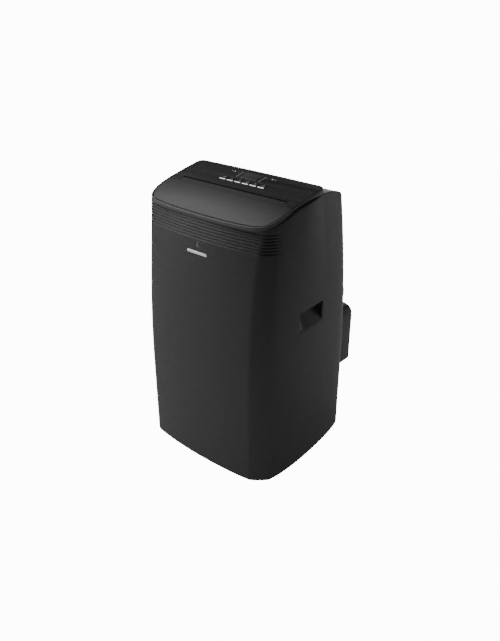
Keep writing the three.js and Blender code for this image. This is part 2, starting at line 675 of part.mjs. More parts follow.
const motor = (r, length, bore) => joined([
  bar('z', r, 4, length, [0, 0, 0], 24),
  bar('z', r * 0.4, 0, 5, [0, 0, 0], 16),
]).subtract(bar('z', 4.3, -1, bore, [0, 0, 0], 12));

// Scroll along +Z: wall, a plate with the inlet at the far end, and a plate with the shaft hole.
function scroll(r0, r1, mouthLength, width, inlet) {
  const hollow = toSolid(upright(spiral(r0, r1, mouthLength + 5, 0), 2.4, width - 2.4));
  return without(toSolid(upright(spiral(r0, r1, mouthLength, 2.4), 0, width)), [
    hollow,
    bar('z', inlet, width - 10, width + 10, [0, 0, 0], 32),
    bar('z', 9, -10, 10, [0, 0, 0], 16),
  ]);
}

// Cold fan: its axis points back (+Y), the mouth points up.
const coldTurn = new THREE.Matrix4().makeBasis(
  new THREE.Vector3(1, 0, 0), new THREE.Vector3(0, 0, 1), new THREE.Vector3(0, -1, 0));
const flipZ = [0, 0, 1];
function placeCold(solid, y) {
  const turned = solid.mirror(flipZ).transform(coldTurn.toArray());
  return turned.translate([COLD_FAN.x, y, COLD_FAN.z]);
}
const turnedOver = (solid) => solid.rotate([0, 180, 0]);

add('evaporator_scroll',
  placeCold(scroll(COLD_FAN.r + 7, 112, 87.4, COLD_FAN.y1 - COLD_FAN.y0, 66), COLD_FAN.y0), innerWhite);
add('evaporator_wheel', placeCold(cageWheel(COLD_FAN.r, 82, 26), COLD_FAN.y0 + 10), innerBlack);
add('evaporator_motor',
  turnedOver(motor(44, 30, 20)).transform(coldTurn.toArray()).mirror([0, 1, 0])
    .translate([COLD_FAN.x, COLD_FAN.y0 - 1, COLD_FAN.z]), galvanised);

// Hot fan: its axis points left (-X), the mouth points back.
const hotTurn = new THREE.Matrix4().makeBasis(
  new THREE.Vector3(0, 0, 1), new THREE.Vector3(0, 1, 0), new THREE.Vector3(-1, 0, 0));
function placeHot(solid, x) {
  return solid.transform(hotTurn.toArray()).translate([x, HOT_FAN.y, HOT_FAN.z]);
}

add('condenser_scroll',
  placeHot(scroll(HOT_FAN.r + 7, 118, 158, HOT_FAN.x1 - HOT_FAN.x0, 66), HOT_FAN.x1), innerBlack);
add('condenser_wheel', placeHot(cageWheel(HOT_FAN.r, 90, 26), HOT_FAN.x1 - 10), innerBlack);
add('condenser_motor', placeHot(turnedOver(motor(42, 44, 20)), HOT_FAN.x1 + 1), galvanised);

// ---------------------------------------------------------------- refrigeration

// Finned block with the hairpin bends of its tubes on one end.
function coil(x0, x1, y0, y1, z0, z1, bends, side) {
  const end = side > 0 ? x1 : x0;
  const pieces = [solidBox(x0, x1, y0, y1, z0, z1)];
  const pitch = (z1 - z0) / bends;
  for (let i = 0; i < bends; i += 1) {
    const hairpin = new THREE.TorusGeometry(pitch * 0.27, 4, 6, 10);
    hairpin.rotateX(Math.PI / 2);
    hairpin.rotateY(Math.PI / 2);
    hairpin.rotateX(Math.PI / 2);
    hairpin.rotateZ(Math.PI / 2);
    pieces.push(toSolid(hairpin.translate(end, (y0 + y1) / 2, z0 + pitch * (i + 0.5))));
  }
  return joined(pieces);
}

add('evaporator_coil', coil(-168, 160, 108, 146, 436, 668, 5, 1), coilAluminium);
add('condenser_coil', coil(-180, -34, 150, 192, 80, 396, 6, 1), coilAluminium);

add('partition_deck', without(cabinetSpace(WALL + GAP + 0.3, DECK_Z, DECK_Z + 3, 1), [
  bar('z', 22, 400, 430, [-110, 20, 0], 20),
  solidBox(100, 150, -40, 0, 400, 430),
]), innerWhite);

add('drip_tray', solidBox(-176, 172, 98, 156, DECK_Z + 3.3, DECK_Z + 22)
  .subtract(solidBox(-174, 170, 100, 154, DECK_Z + 5.3, DECK_Z + 40)), innerWhite);

function can(r, z0, z1, dome) {
  const points = [[0, z0], [r * 0.7, z0 + 2], [r, z0 + dome], [r, z1 - dome],
    [r * 0.86, z1 - dome * 0.35], [r * 0.5, z1 - dome * 0.06], [0, z1]];
  const g = new THREE.LatheGeometry(points.map(([a, b]) => new THREE.Vector2(a, b)), 20);
  return g.rotateX(Math.PI / 2);
}

add('compressor', joined([
  toSolid(can(COMPRESSOR.r, COMPRESSOR.z0, COMPRESSOR.z1, 34)).translate([COMPRESSOR.x, COMPRESSOR.y, 0]),
  toSolid(can(22, 106, 250, 14)).translate([COMPRESSOR.x + 86, COMPRESSOR.y + 6, 0]),
  bar('x', 7, COMPRESSOR.x + 40, COMPRESSOR.x + 80, [0, COMPRESSOR.y + 6, 128], 12),
  ...footPlaces.map(([, , turn]) => {
    const foot = box(-11, 11, 40, COMPRESSOR.footReach + 10, COMPRESSOR.z0 + 4, COMPRESSOR.z0 + 8);
    return toSolid(foot.rotateZ(turn).translate(COMPRESSOR.x, COMPRESSOR.y, 0));
  }),
]), compressorBlack);

function pipe(points, r) {
  const path = new THREE.CatmullRomCurve3(points.map((p) => new THREE.Vector3(...p)), false, 'centripetal');
  const section = new THREE.Shape();
  section.absarc(0, 0, r, 0, 2 * Math.PI);
  return toSolid(new THREE.ExtrudeGeometry(section, { steps: 18, curveSegments: 4, extrudePath: path }));
}

const accumulator = [COMPRESSOR.x + 86, COMPRESSOR.y + 6];
add('suction_pipe', pipe([
  [...accumulator, 250.6], [...accumulator, 276], [-60, -30, 326], [-100, 10, 370],
  [-110, 20, 411], [-130, 60, 440], [-186, 95, 462], [-190, 127, 500], [-190, 127, 540],
  [-184, 127, 556], [-171, 127, 558]], 6),
copper);
add('discharge_pipe', pipe([
  [COMPRESSOR.x, COMPRESSOR.y, 296.6], [COMPRESSOR.x, COMPRESSOR.y, 312], [-115, -40, 326],
  [-150, 30, 334], [-178, 100, 340], [-188, 150, 345], [-191, 171, 352], [-190, 171, 361],
  [-187, 171, 364]], 4.5), copper);

add('electronics_box', joined([
  solidBox(112, 178, -70, 60, 480, 610),
  solidBox(104, 113, -50, 40, 500, 590),
]), galvanised);

add('condensate_pump', joined([
  solidBox(30, 72, -140, -98, 27, 58),
  bar('z', 15, 55, 92, [51, -119, 0], 20),
  bar('y', 4, -105, -82, [51, 0, 40], 10),
]), innerBlack);

// ---------------------------------------------------------------- the part's frame

const part = new THREE.Group();
cabinet.position.y = -(FRONT + EXHAUST.y1) / 2;
part.add(cabinet);

export default part;
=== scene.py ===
"""Portable air conditioner on casters: housings, flap, key panel and rear fittings round the fixed frame."""
import json
import math

import bmesh
import bpy
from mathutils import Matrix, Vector

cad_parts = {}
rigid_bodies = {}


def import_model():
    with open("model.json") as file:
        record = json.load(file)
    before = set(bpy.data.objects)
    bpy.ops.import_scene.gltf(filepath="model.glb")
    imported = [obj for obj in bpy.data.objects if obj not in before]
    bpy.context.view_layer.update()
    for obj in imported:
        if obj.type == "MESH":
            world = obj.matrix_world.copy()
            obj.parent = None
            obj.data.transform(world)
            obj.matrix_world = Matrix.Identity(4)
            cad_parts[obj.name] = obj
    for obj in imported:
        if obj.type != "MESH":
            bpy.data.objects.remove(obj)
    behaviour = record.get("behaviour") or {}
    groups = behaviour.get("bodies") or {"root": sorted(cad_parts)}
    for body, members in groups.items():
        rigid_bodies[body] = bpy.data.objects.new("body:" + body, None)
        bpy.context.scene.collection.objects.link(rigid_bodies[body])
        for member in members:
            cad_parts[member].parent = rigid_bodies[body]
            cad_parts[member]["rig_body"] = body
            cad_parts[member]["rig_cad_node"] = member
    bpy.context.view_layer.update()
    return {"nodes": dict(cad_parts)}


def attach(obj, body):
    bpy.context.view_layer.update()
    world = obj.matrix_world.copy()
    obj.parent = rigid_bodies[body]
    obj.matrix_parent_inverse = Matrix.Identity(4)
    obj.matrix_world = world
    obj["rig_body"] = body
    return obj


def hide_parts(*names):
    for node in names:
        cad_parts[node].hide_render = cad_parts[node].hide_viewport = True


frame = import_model()

# ---- the cabinet's own measures
# Pieces are drawn in millimetres in the cabinet's frame and brought to metres when they are settled.

MM = 0.001
BACK = 62.5             # the row's y is the cabinet's y less this
FRONT, REAR = -175, 225
WALL = 3
LEAN_Y, LEAN_X = 36, 0.034
RIM, RIM_GAP = 4.5, 0.9
PLATE, POCKET = 3.8, 4.1
PANEL_FRONT, PANEL_FRONT_Z, PANEL_SLOPE, FLAP_CURVE = -22, 739, 0.207, 0.0009
HINGE_Y, HINGE_DEPTH = -27.5, 3.8
LUG_X = (168.6, 177.5)
TAB_X, TAB_Y = 168.5, -43
KEY_PITCH, KEY, KEY_Y = 25, 21, 14
WINDOW_W, WINDOW_D, WINDOW_Y = 52, 28, 44
RIB_COUNT, RIB_PITCH, RIB_TOP, RIB_DEPTH = 7, 7.3, 692, 2.4
OUTLET = (-150, 150, -120, -48)
HANDLE = (-30, 73, 416, 473)
HANDLE_R, HANDLE_DEPTH = 9, 26
PLATE_EASE = 0.8        # how much further in than the CAD the flap and the panel stand
TAB_GAPS = (1.4, 1.2)   # between the tabs and the flap, behind it and beside it
SLOPE_TO_EYE = math.radians(7.3)
EXHAUST_X, EXHAUST_Z, EXHAUST_BOX, EXHAUST_BORE = 76, 271, 178, 72
UPPER_GRILLE = (-165, 165, 446, 668)
LOWER_GRILLE = (-182, -34, 110, 390)
COLLAR = 67
PLUGS = {"lower_drain_plug": (90, 48), "upper_drain_plug": (-120, 425)}
GLAND = (150, 128)
CASTERS = [(-150, -108), (150, -108), (-150, 158), (150, 158)]
TILT = math.atan(PANEL_SLOPE)


# ---- bench tools

def pick(*objs):
    bpy.ops.object.select_all(action="DESELECT")
    for o in objs:
        o.select_set(True)
    bpy.context.view_layer.objects.active = objs[0]
    return objs[0]


def edit(obj, mode="EDGE"):
    pick(obj)
    bpy.ops.object.mode_set(mode="EDIT")
    bpy.ops.mesh.select_mode(type=mode)
    bpy.ops.mesh.select_all(action="SELECT")


def leave():
    bpy.ops.object.mode_set(mode="OBJECT")


def choose(obj, faces=None, edges=None):
    """Selects faces or edges of the piece that is open in edit mode, by a test on each."""
    bm = bmesh.from_edit_mesh(obj.data)
    bpy.ops.mesh.select_all(action="DESELECT")
    for item in (bm.faces if faces else bm.edges):
        item.select_set(bool((faces or edges)(item)))
    bmesh.update_edit_mesh(obj.data)


def worked(obj, kind, **values):
    """Adds a modifier, sets it and applies it."""
    m = obj.modifiers.new("work", kind)
    for key, value in values.items():
        setattr(m, key, value)
    pick(obj)
    bpy.ops.object.modifier_apply(modifier="work")
    return obj


def cut(obj, *cutters, operation="DIFFERENCE"):
    for cutter in cutters:
        worked(obj, "BOOLEAN", object=cutter, operation=operation, solver="EXACT")
        bpy.data.objects.remove(cutter)
    return obj


def eased(obj, width, segments=2, angle=42):
    return worked(obj, "BEVEL", width=width, segments=segments, limit_method="ANGLE",
                  angle_limit=math.radians(angle), harden_normals=False)


def smoothed(obj, angle=34):
    pick(obj)
    bpy.ops.object.shade_smooth_by_angle(angle=math.radians(angle))
    return obj


def outward(obj):
    edit(obj)
    bpy.ops.mesh.remove_doubles(threshold=1e-4)
    bpy.ops.mesh.normals_make_consistent(inside=False)
    leave()
    return obj


def placed(obj):
    pick(obj)
    bpy.ops.object.transform_apply(location=True, rotation=True, scale=True)
    return obj


def block(name, x0, x1, y0, y1, z0, z1):
    bpy.ops.mesh.primitive_cube_add(size=1, location=((x0 + x1) / 2, (y0 + y1) / 2, (z0 + z1) / 2),
                                    scale=(x1 - x0, y1 - y0, z1 - z0))
    bpy.context.object.name = name
    return placed(bpy.context.object)


TURNS = {"x": (0, math.pi / 2, 0), "y": (math.pi / 2, 0, 0), "z": (0, 0, 0)}


def rod(name, axis, r, start, end, at, sides=40):
    middle = list(at)
    middle["xyz".index(axis)] = (start + end) / 2
    bpy.ops.mesh.primitive_cylinder_add(vertices=sides, radius=r, depth=end - start,
                                        location=middle, rotation=TURNS[axis])
    bpy.context.object.name = name
    return placed(bpy.context.object)


def drawn(name, points, closed=True):
    """A line drawn point by point; each point carries its station number along."""
    count = len(points)
    mesh = bpy.data.meshes.new(name)
    lines = [(i, (i + 1) % count) for i in range(count if closed else count - 1)]
    mesh.from_pydata([tuple(p) for p in points], lines, [])
    mesh.attributes.new("station", "INT", "POINT").data.foreach_set("value", list(range(count)))
    obj = bpy.data.objects.new(name, mesh)
    bpy.context.scene.collection.objects.link(obj)
    return obj


def pulled(name, stations, rings, place, closed=True, joined=False):
    """A line of stations pulled out ring by ring; each point then goes to place(station, ring)."""
    obj = drawn(name, [(i, 0, 0) for i in range(stations)], closed)
    edit(obj)
    for _ in range(rings - 1):
        bpy.ops.mesh.extrude_region_move(TRANSFORM_OT_translate={"value": (0, 0, 1)})
    leave()
    number = [0] * len(obj.data.vertices)
    obj.data.attributes["station"].data.foreach_get("value", number)
    obj.data.attributes.remove(obj.data.attributes["station"])
    ends = []
    for v in obj.data.vertices:
        ring = round(v.co.z)
        ends.append(ring in (0, rings - 1))
        v.co = place(number[v.index], ring)
    if joined:
        edit(obj)
        choose(obj, edges=lambda e: e.is_boundary and all(ends[v.index] for v in e.verts))
        bpy.ops.mesh.bridge_edge_loops()
        leave()
    return obj


def capped(obj):
    """Closes every open end with one face."""
    edit(obj)
    choose(obj, edges=lambda e: e.is_boundary)
    bpy.ops.mesh.fill_holes(sides=0)
    leave()
    return outward(obj)


def slab(name, outline, top, thickness, strips):
    """A plate with this outline; its upper side follows top(x, y) from strip to strip."""
    obj = drawn(name, [(x, y, 0) for x, y in outline])
    edit(obj)
    bpy.ops.mesh.edge_face_add()
    for y in strips:
        bpy.ops.mesh.select_all(action="SELECT")
        bpy.ops.mesh.bisect(plane_co=(0, y, 0), plane_no=(0, 1, 0))
    bpy.ops.mesh.select_all(action="SELECT")
    leave()
    obj.data.attributes.remove(obj.data.attributes["station"])
    if sum(p.normal.z * p.area for p in obj.data.polygons) < 0:
        edit(obj)
        bpy.ops.mesh.flip_normals()
        leave()
    for v in obj.data.vertices:
        v.co.z = top(v.co.x, v.co.y)
    return worked(obj, "SOLIDIFY", thickness=thickness, offset=-1)


def upright(name, outline, z0, z1):
    """A straight prism between two heights."""
    return slab(name, outline, lambda x, y: z1, z1 - z0, [])


def painted(obj, finish):
    obj.data.materials.clear()
    obj.data.materials.append(finish)
    return obj


def together(name, *objs):
    pick(*objs)
    bpy.ops.object.join()
    bpy.context.object.name = name
    return bpy.context.object


def settled(obj, name, body, slot, *nodes):
    """Brings a finished piece to metres, fixes it to its body and lets it stand for its CAD nodes."""
    obj.name = name
    obj.scale = (MM, MM, MM)
    obj.location = (0, -BACK * MM, 0)
    placed(obj)
    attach(obj, body)
    if nodes:
        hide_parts(*nodes)
    return obj


def dressed(node, body, finish, width=0.4, segments=2, angle=38):
    """A copy of a CAD node with its triangles merged and its edges eased."""
    source = frame["nodes"][node]
    obj = source.copy()
    obj.data = source.data.copy()
    bpy.context.scene.collection.objects.link(obj)
    obj.parent = None
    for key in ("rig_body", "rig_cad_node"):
        del obj[key]
    edit(obj)
    bpy.ops.mesh.remove_doubles(threshold=1e-5)
    bpy.ops.mesh.customdata_custom_splitnormals_clear()
    bpy.ops.mesh.dissolve_limited(angle_limit=math.radians(0.8))
    leave()
    if width:
        eased(obj, width * MM, segments, angle)
    smoothed(obj)
    painted(obj, finish)
    obj.name = node + "_made"
    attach(obj, body)
    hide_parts(node)
    return obj


# ---- curves and the cabinet's form

def quadratic(a, b, c, n):
    steps = [(i + 1) / n for i in range(n)]
    return [tuple(p * (1 - t) ** 2 + 2 * q * t * (1 - t) + r * t * t for p, q, r in zip(a, b, c)) for t in steps]


def cubic(a, b, c, d, n):
    steps = [(i + 1) / n for i in range(n)]
    return [tuple(p * (1 - t) ** 3 + 3 * q * t * (1 - t) ** 2 + 3 * r * t * t * (1 - t) + s * t ** 3
                  for p, q, r, s in zip(a, b, c, d)) for t in steps]


def smoothstep(a, b, v):
    t = min(max((v - a) / (b - a), 0), 1)
    return t * t * (3 - 2 * t)


def rounded(x0, x1, y0, y1, r, r_top=None, n=8):
    """Rounded rectangle, counter-clockwise from its lower right corner."""
    r_top = r if r_top is None else r_top
    points = []
    for cx, cy, radius, start in ((x1 - r, y0 + r, r, -90), (x1 - r_top, y1 - r_top, r_top, 0),
                                  (x0 + r_top, y1 - r_top, r_top, 90), (x0 + r, y0 + r, r, 180)):
        for i in range(n + 1):
            a = math.radians(start + 90 * i / n)
            points.append((cx + radius * math.cos(a), cy + radius * math.sin(a)))
    return points


def inset(points, distance, closed=True):
    """Moves each point of an outline to its left, which is inwards where the outline runs anticlockwise."""
    out, count = [], len(points)
    for i, p in enumerate(points):
        a = points[(i - 1) % count] if closed or i else p
        b = points[(i + 1) % count] if closed or i < count - 1 else p
        dx, dy = b[0] - a[0], b[1] - a[1]
        length = math.hypot(dx, dy) or 1
        out.append((p[0] - dy / length * distance, p[1] + dx / length * distance))
    return out


def lean_share(z):
    up = min(max((z - 245) / 465, 0), 1.1)
    return up * up


def leaned(x, y, z):
    side = min(max((20 - y) / 80, -1), 1)
    return Vector((x * (1 - LEAN_X * lean_share(z)), y + LEAN_Y * lean_share(z) * side, z))


def lean(obj):
    for v in obj.data.vertices:
        v.co = leaned(*v.co)
    return obj


def cabinet_half(corner):
    """Front middle to rear middle. corner 0 is the broad corner face low down, 1 the slim one under the rim."""
    a = [(0, FRONT)] + quadratic((0, FRONT), (95, FRONT), (170, -163), 22) \
        + quadratic((170, -163), (190.6, -152.5), (210.4, -129), 9)
    b = [(0, FRONT)] + quadratic((0, FRONT), (104, FRONT - 0.5), (190, -158.5), 22) \
        + quadratic((190, -158.5), (201.5, -152.5), (210.4, -130), 9)
    front = [(p[0] + (q[0] - p[0]) * corner, p[1] + (q[1] - p[1]) * corner) for p, q in zip(a, b)]
    return front + cubic((210.4, -129), (229, -70), (219, 95), (202, 180), 46)


SEAM_TURN = 0.4625      # how far round the rear corner the front and rear housings meet


def rear_corner(start, end, n):
    points = []
    for i in range(n + 1):
        t = start + (end - start) * i / n
        points.append(tuple(p * (1 - t) ** 2 + 2 * q * t * (1 - t) + r * t * t
                            for p, q, r in zip((202, 180), (193, REAR), (165, REAR))))
    return points


def mirrored(half):
    return [(-x, y) for x, y in reversed(half[1:])] + list(half)


def corner_share(z):
    return math.exp(-max(690 - z, 0) / 100)


WALL_TOP = [(-200, 688), (-141, 693.5), (-115, 704), (-75, 718), (-35, 731), (13, 738.5), (62, 742.6),
            (105, 741), (135, 734.5), (165, 722.5), (195, 703), (250, 655)]


def wall_top(y):
    """Height of the walls' upper edge, a smooth arch from the front to the rear."""
    y = min(max(y, -199.9), 249.9)
    i = next(k for k in range(len(WALL_TOP) - 1) if WALL_TOP[k + 1][0] >= y)

    def slope(k):
        low, high = WALL_TOP[max(k - 1, 0)], WALL_TOP[min(k + 1, len(WALL_TOP) - 1)]
        return (high[1] - low[1]) / (high[0] - low[0])
    (y0, z0), (y1, z1) = WALL_TOP[i], WALL_TOP[i + 1]
    h = y1 - y0
    t = (y - y0) / h
    return (z0 * (2 * t ** 3 - 3 * t * t + 1) + slope(i) * h * (t ** 3 - 2 * t * t + t)
            + z1 * (3 * t * t - 2 * t ** 3) + slope(i + 1) * h * (t ** 3 - t * t))


def shield_top(x, y):
    ahead = min(y - PANEL_FRONT, 0)
    return PANEL_FRONT_Z + PANEL_SLOPE * (y - PANEL_FRONT) - FLAP_CURVE * ahead * ahead


def shield_outline(by=0.0):
    """Plan of the raised shield, anticlockwise, moved inwards by a distance."""
    half = [(0, -144)] + quadratic((0, -144), (95, -144), (150, -137.5), 18) \
        + cubic((150, -137.5), (190, -132), (200, -110), (204, -74), 18) \
        + cubic((204, -74), (206, -40), (206, 20), (204.5, 56), 20) \
        + quadratic((204.5, 56), (204, 74), (186, 75), 10) + [(140, 75.6), (90, 76.2), (40, 76.7), (0, 77)]
    loop = half + [(-x, y) for x, y in reversed(half[1:-1])]
    return inset(loop, by)


# ---- finishes

def socket(tree, name, where, kind="NodeSocketFloat", value=None):
    s = tree.interface.new_socket(name=name, in_out=where, socket_type=kind)
    if value is not None:
        s.default_value = value
    return s


def node(tree, kind, **values):
    n = tree.nodes.new(kind)
    for key, value in values.items():
        if key in n.inputs:
            n.inputs[key].default_value = value
        else:
            setattr(n, key, value)
    return n


def fine_grain_group():
    """Spark-eroded mould texture: fine grain, a slow mottle and a patchy gloss."""
    tree = bpy.data.node_groups.new("mould_grain", "ShaderNodeTree")
    socket(tree, "Grain size", "INPUT", value=1500.0)
    socket(tree, "Mottle size", "INPUT", value=14.0)
    socket(tree, "Height", "OUTPUT")
    socket(tree, "Mottle", "OUTPUT")
    socket(tree, "Gloss", "OUTPUT")
    enter, out = tree.nodes.new("NodeGroupInput"), tree.nodes.new("NodeGroupOutput")
    place = tree.nodes.new("ShaderNodeTexCoord")
    fine = node(tree, "ShaderNodeTexNoise", Detail=3.0, Roughness=0.6)
    slow = node(tree, "ShaderNodeTexNoise", Detail=4.0, Roughness=0.55)
    gloss = node(tree, "ShaderNodeTexNoise", Scale=46.0, Detail=5.0, Roughness=0.65)
    for n in (fine, slow, gloss):
        tree.links.new(place.outputs["Object"], n.inputs["Vector"])
    tree.links.new(enter.outputs["Grain size"], fine.inputs["Scale"])
    tree.links.new(enter.outputs["Mottle size"], slow.inputs["Scale"])
    tree.links.new(fine.outputs["Fac"], out.inputs["Height"])
    tree.links.new(slow.outputs["Fac"], out.inputs["Mottle"])
    tree.links.new(gloss.outputs["Fac"], out.inputs["Gloss"])
    return tree


def dust_group():
    """Dust that settles on surfaces that face up, and scuffs close to the floor."""
    tree = bpy.data.node_groups.new("dust_and_scuffs", "ShaderNodeTree")
    socket(tree, "Amount", "INPUT", value=0.3)
    socket(tree, "Mask", "OUTPUT")
    enter, out = tree.nodes.new("NodeGroupInput"), tree.nodes.new("NodeGroupOutput")
    place, shape = tree.nodes.new("ShaderNodeTexCoord"), tree.nodes.new("ShaderNodeNewGeometry")
    facing, height = tree.nodes.new("ShaderNodeSeparateXYZ"), tree.nodes.new("ShaderNodeSeparateXYZ")
    specks = node(tree, "ShaderNodeTexNoise", Scale=420.0, Detail=6.0, Roughness=0.75)
    cloud = node(tree, "ShaderNodeTexNoise", Scale=22.0, Detail=4.0, Roughness=0.6)
    up = node(tree, "ShaderNodeMapRange")
    up.inputs["From Min"].default_value = 0.55
    low = node(tree, "ShaderNodeMapRange")
    low.inputs["From Min"].default_value = 0.09
    low.inputs["From Max"].default_value = 0.02
    sharp = node(tree, "ShaderNodeMapRange")
    sharp.inputs["From Min"].default_value = 0.52
    sharp.inputs["From Max"].default_value = 0.8
    most = node(tree, "ShaderNodeMath", operation="MAXIMUM")
    parts = [node(tree, "ShaderNodeMath", operation="MULTIPLY", use_clamp=True) for _ in range(3)]
    link = tree.links.new
    link(shape.outputs["Normal"], facing.inputs[0])
    link(place.outputs["Object"], height.inputs[0])
    link(place.outputs["Object"], specks.inputs["Vector"])
    link(place.outputs["Object"], cloud.inputs["Vector"])
    link(facing.outputs["Z"], up.inputs["Value"])
    link(height.outputs["Z"], low.inputs["Value"])
    link(specks.outputs["Fac"], sharp.inputs["Value"])
    link(up.outputs[0], most.inputs[0])
    link(low.outputs[0], most.inputs[1])
    link(most.outputs[0], parts[0].inputs[0])
    link(sharp.outputs[0], parts[0].inputs[1])
    link(parts[0].outputs[0], parts[1].inputs[0])
    link(cloud.outputs["Fac"], parts[1].inputs[1])
    link(parts[1].outputs[0], parts[2].inputs[0])
    link(enter.outputs["Amount"], parts[2].inputs[1])
    link(parts[2].outputs[0], out.inputs["Mask"])
    return tree


GRAIN, DUST = fine_grain_group(), dust_group()


def finish_of(name, colour, roughness, grain=0.12, grain_size=1500.0, mottle=0.10, dust=0.3, metallic=0.0,
              spread=0.10, coat=0.0, bump=0.00012, pattern=None, **shader):
    """A finish: base colour with a slow mottle, patchy roughness, moulded grain and a little dust."""
    material = bpy.data.materials.new(name)
    material.use_nodes = True
    tree = material.node_tree
    link = tree.links.new
    surface = tree.nodes["Principled BSDF"]
    surface.inputs["Metallic"].default_value = metallic
    surface.inputs["Coat Weight"].default_value = coat
    surface.inputs["Coat Roughness"].default_value = 0.12
    for key, value in shader.items():
        surface.inputs[key.replace("_", " ")].default_value = value
    texture = tree.nodes.new("ShaderNodeGroup")
    texture.node_tree = GRAIN
    texture.inputs["Grain size"].default_value = grain_size
    dusty = tree.nodes.new("ShaderNodeGroup")
    dusty.node_tree = DUST
    dusty.inputs["Amount"].default_value = dust
    shade = node(tree, "ShaderNodeMix", data_type="RGBA")
    low, high = [tuple(c * f for c in colour) + (1,) for f in (1 - mottle, 1 + mottle)]
    shade.inputs[6].default_value, shade.inputs[7].default_value = low, high
    link(texture.outputs["Mottle"], shade.inputs[0])
    grey = node(tree, "ShaderNodeMix", data_type="RGBA")
    grey.inputs[7].default_value = (0.32, 0.31, 0.29, 1)
    link(dusty.outputs["Mask"], grey.inputs[0])
    link(shade.outputs[2], grey.inputs[6])
    link(grey.outputs[2], surface.inputs["Base Color"])
    rough = node(tree, "ShaderNodeMapRange")
    rough.inputs["To Min"].default_value = max(roughness - spread, 0.02)
    rough.inputs["To Max"].default_value = min(roughness + spread, 1)
    link(texture.outputs["Gloss"], rough.inputs["Value"])
    link(rough.outputs[0], surface.inputs["Roughness"])
    raised = node(tree, "ShaderNodeBump", Strength=grain, Distance=bump)
    link(texture.outputs["Height"], raised.inputs["Height"])
    link(raised.outputs["Normal"], surface.inputs["Normal"])
    if pattern:
        pattern(tree, surface, shade, raised)
    return material


def netting(tree, surface, shade, raised):
    """Square filter net: threads over and under, with painted shade in the gaps between them."""
    link = tree.links.new
    place = tree.nodes.new("ShaderNodeTexCoord")
    waves = []
    for direction in ("X", "Z"):
        w = node(tree, "ShaderNodeTexWave", wave_type="BANDS", bands_direction=direction, Scale=105.0, Distortion=0.0)
        link(place.outputs["Object"], w.inputs["Vector"])
        waves.append(w)
    most = node(tree, "ShaderNodeMath", operation="MAXIMUM")
    link(waves[0].outputs["Fac"], most.inputs[0])
    link(waves[1].outputs["Fac"], most.inputs[1])
    ramp = tree.nodes.new("ShaderNodeMapRange")
    ramp.inputs["From Min"].default_value = 0.55
    ramp.inputs["From Max"].default_value = 0.85
    link(most.outputs[0], ramp.inputs["Value"])
    mix = node(tree, "ShaderNodeMix", data_type="RGBA")
    # Near-black between the threads: painted shade in the gaps.
    mix.inputs[6].default_value = (0.01, 0.01, 0.011, 1)
    mix.inputs[7].default_value = (0.16, 0.17, 0.175, 1)
    link(ramp.outputs[0], mix.inputs[0])
    link(mix.outputs[2], surface.inputs["Base Color"])
    raised.inputs["Distance"].default_value = 0.0006
    raised.inputs["Strength"].default_value = 0.8
    link(ramp.outputs[0], raised.inputs["Height"])


def fins(tree, surface, shade, raised):
    """Thin upright aluminium fins pressed close together, with painted shade in the gaps between them."""
    link = tree.links.new
    place = tree.nodes.new("ShaderNodeTexCoord")
    w = node(tree, "ShaderNodeTexWave", wave_type="BANDS", bands_direction="X", Scale=170.0, Distortion=0.4)
    w.inputs["Detail Scale"].default_value = 3.0
    link(place.outputs["Object"], w.inputs["Vector"])
    mix = node(tree, "ShaderNodeMix", data_type="RGBA")
    # Near-black bands between the fins: painted shade in the gaps.
    mix.inputs[6].default_value = (0.03, 0.03, 0.032, 1)
    mix.inputs[7].default_value = (0.62, 0.64, 0.66, 1)
    link(w.outputs["Fac"], mix.inputs[0])
    link(mix.outputs[2], surface.inputs["Base Color"])
    raised.inputs["Distance"].default_value = 0.0012
    raised.inputs["Strength"].default_value = 0.9
    link(w.outputs["Fac"], raised.inputs["Height"])


def weathered_plate(tree, surface, shade, raised):
    """Zinc spangle on galvanised sheet."""
    link = tree.links.new
    place = tree.nodes.new("ShaderNodeTexCoord")
    cells = node(tree, "ShaderNodeTexVoronoi", Scale=70.0)
    link(place.outputs["Object"], cells.inputs["Vector"])
    link(cells.outputs["Color"], shade.inputs[0])


HOUSING = finish_of("charcoal_housing", (0.0265, 0.0268, 0.0275), 0.43, grain=0.07, mottle=0.05, spread=0.06,
                    dust=0.10)
FLAP = finish_of("satin_flap", (0.045, 0.0455, 0.047), 0.38, grain=0.06, mottle=0.04, spread=0.05, dust=0.03)
PANEL = finish_of("panel_satin", (0.017, 0.0172, 0.018), 0.36, grain=0.04, mottle=0.04, spread=0.04, dust=0.03)
TRIM = finish_of("trim_grey", (0.062, 0.0625, 0.064), 0.36, grain=0.06, mottle=0.05, spread=0.05, dust=0.04)
KEY_CAP = finish_of("key_cap", (0.020, 0.0202, 0.021), 0.30, grain=0.05, spread=0.05, dust=0.1, coat=0.2)
REAR_PLASTIC = finish_of("rear_plastic", (0.021, 0.0212, 0.022), 0.52, grain=0.2, grain_size=1100.0)
INNER_BLACK = finish_of("inner_black", (0.012, 0.012, 0.0125), 0.55, grain=0.2, grain_size=900.0)
INNER_WHITE = finish_of("inner_white", (0.62, 0.62, 0.60), 0.5, grain=0.15, dust=0.2)
# White print, given an emission that makes it glow: its own colour plus a painted glow.
PRINT_WITH_PAINTED_GLOW = finish_of("white_print_painted_glow", (0.85, 0.85, 0.85), 0.5, grain=0.02, mottle=0.02, dust=0.0,
                  Emission_Color=(1, 1, 1, 1), Emission_Strength=0.9)
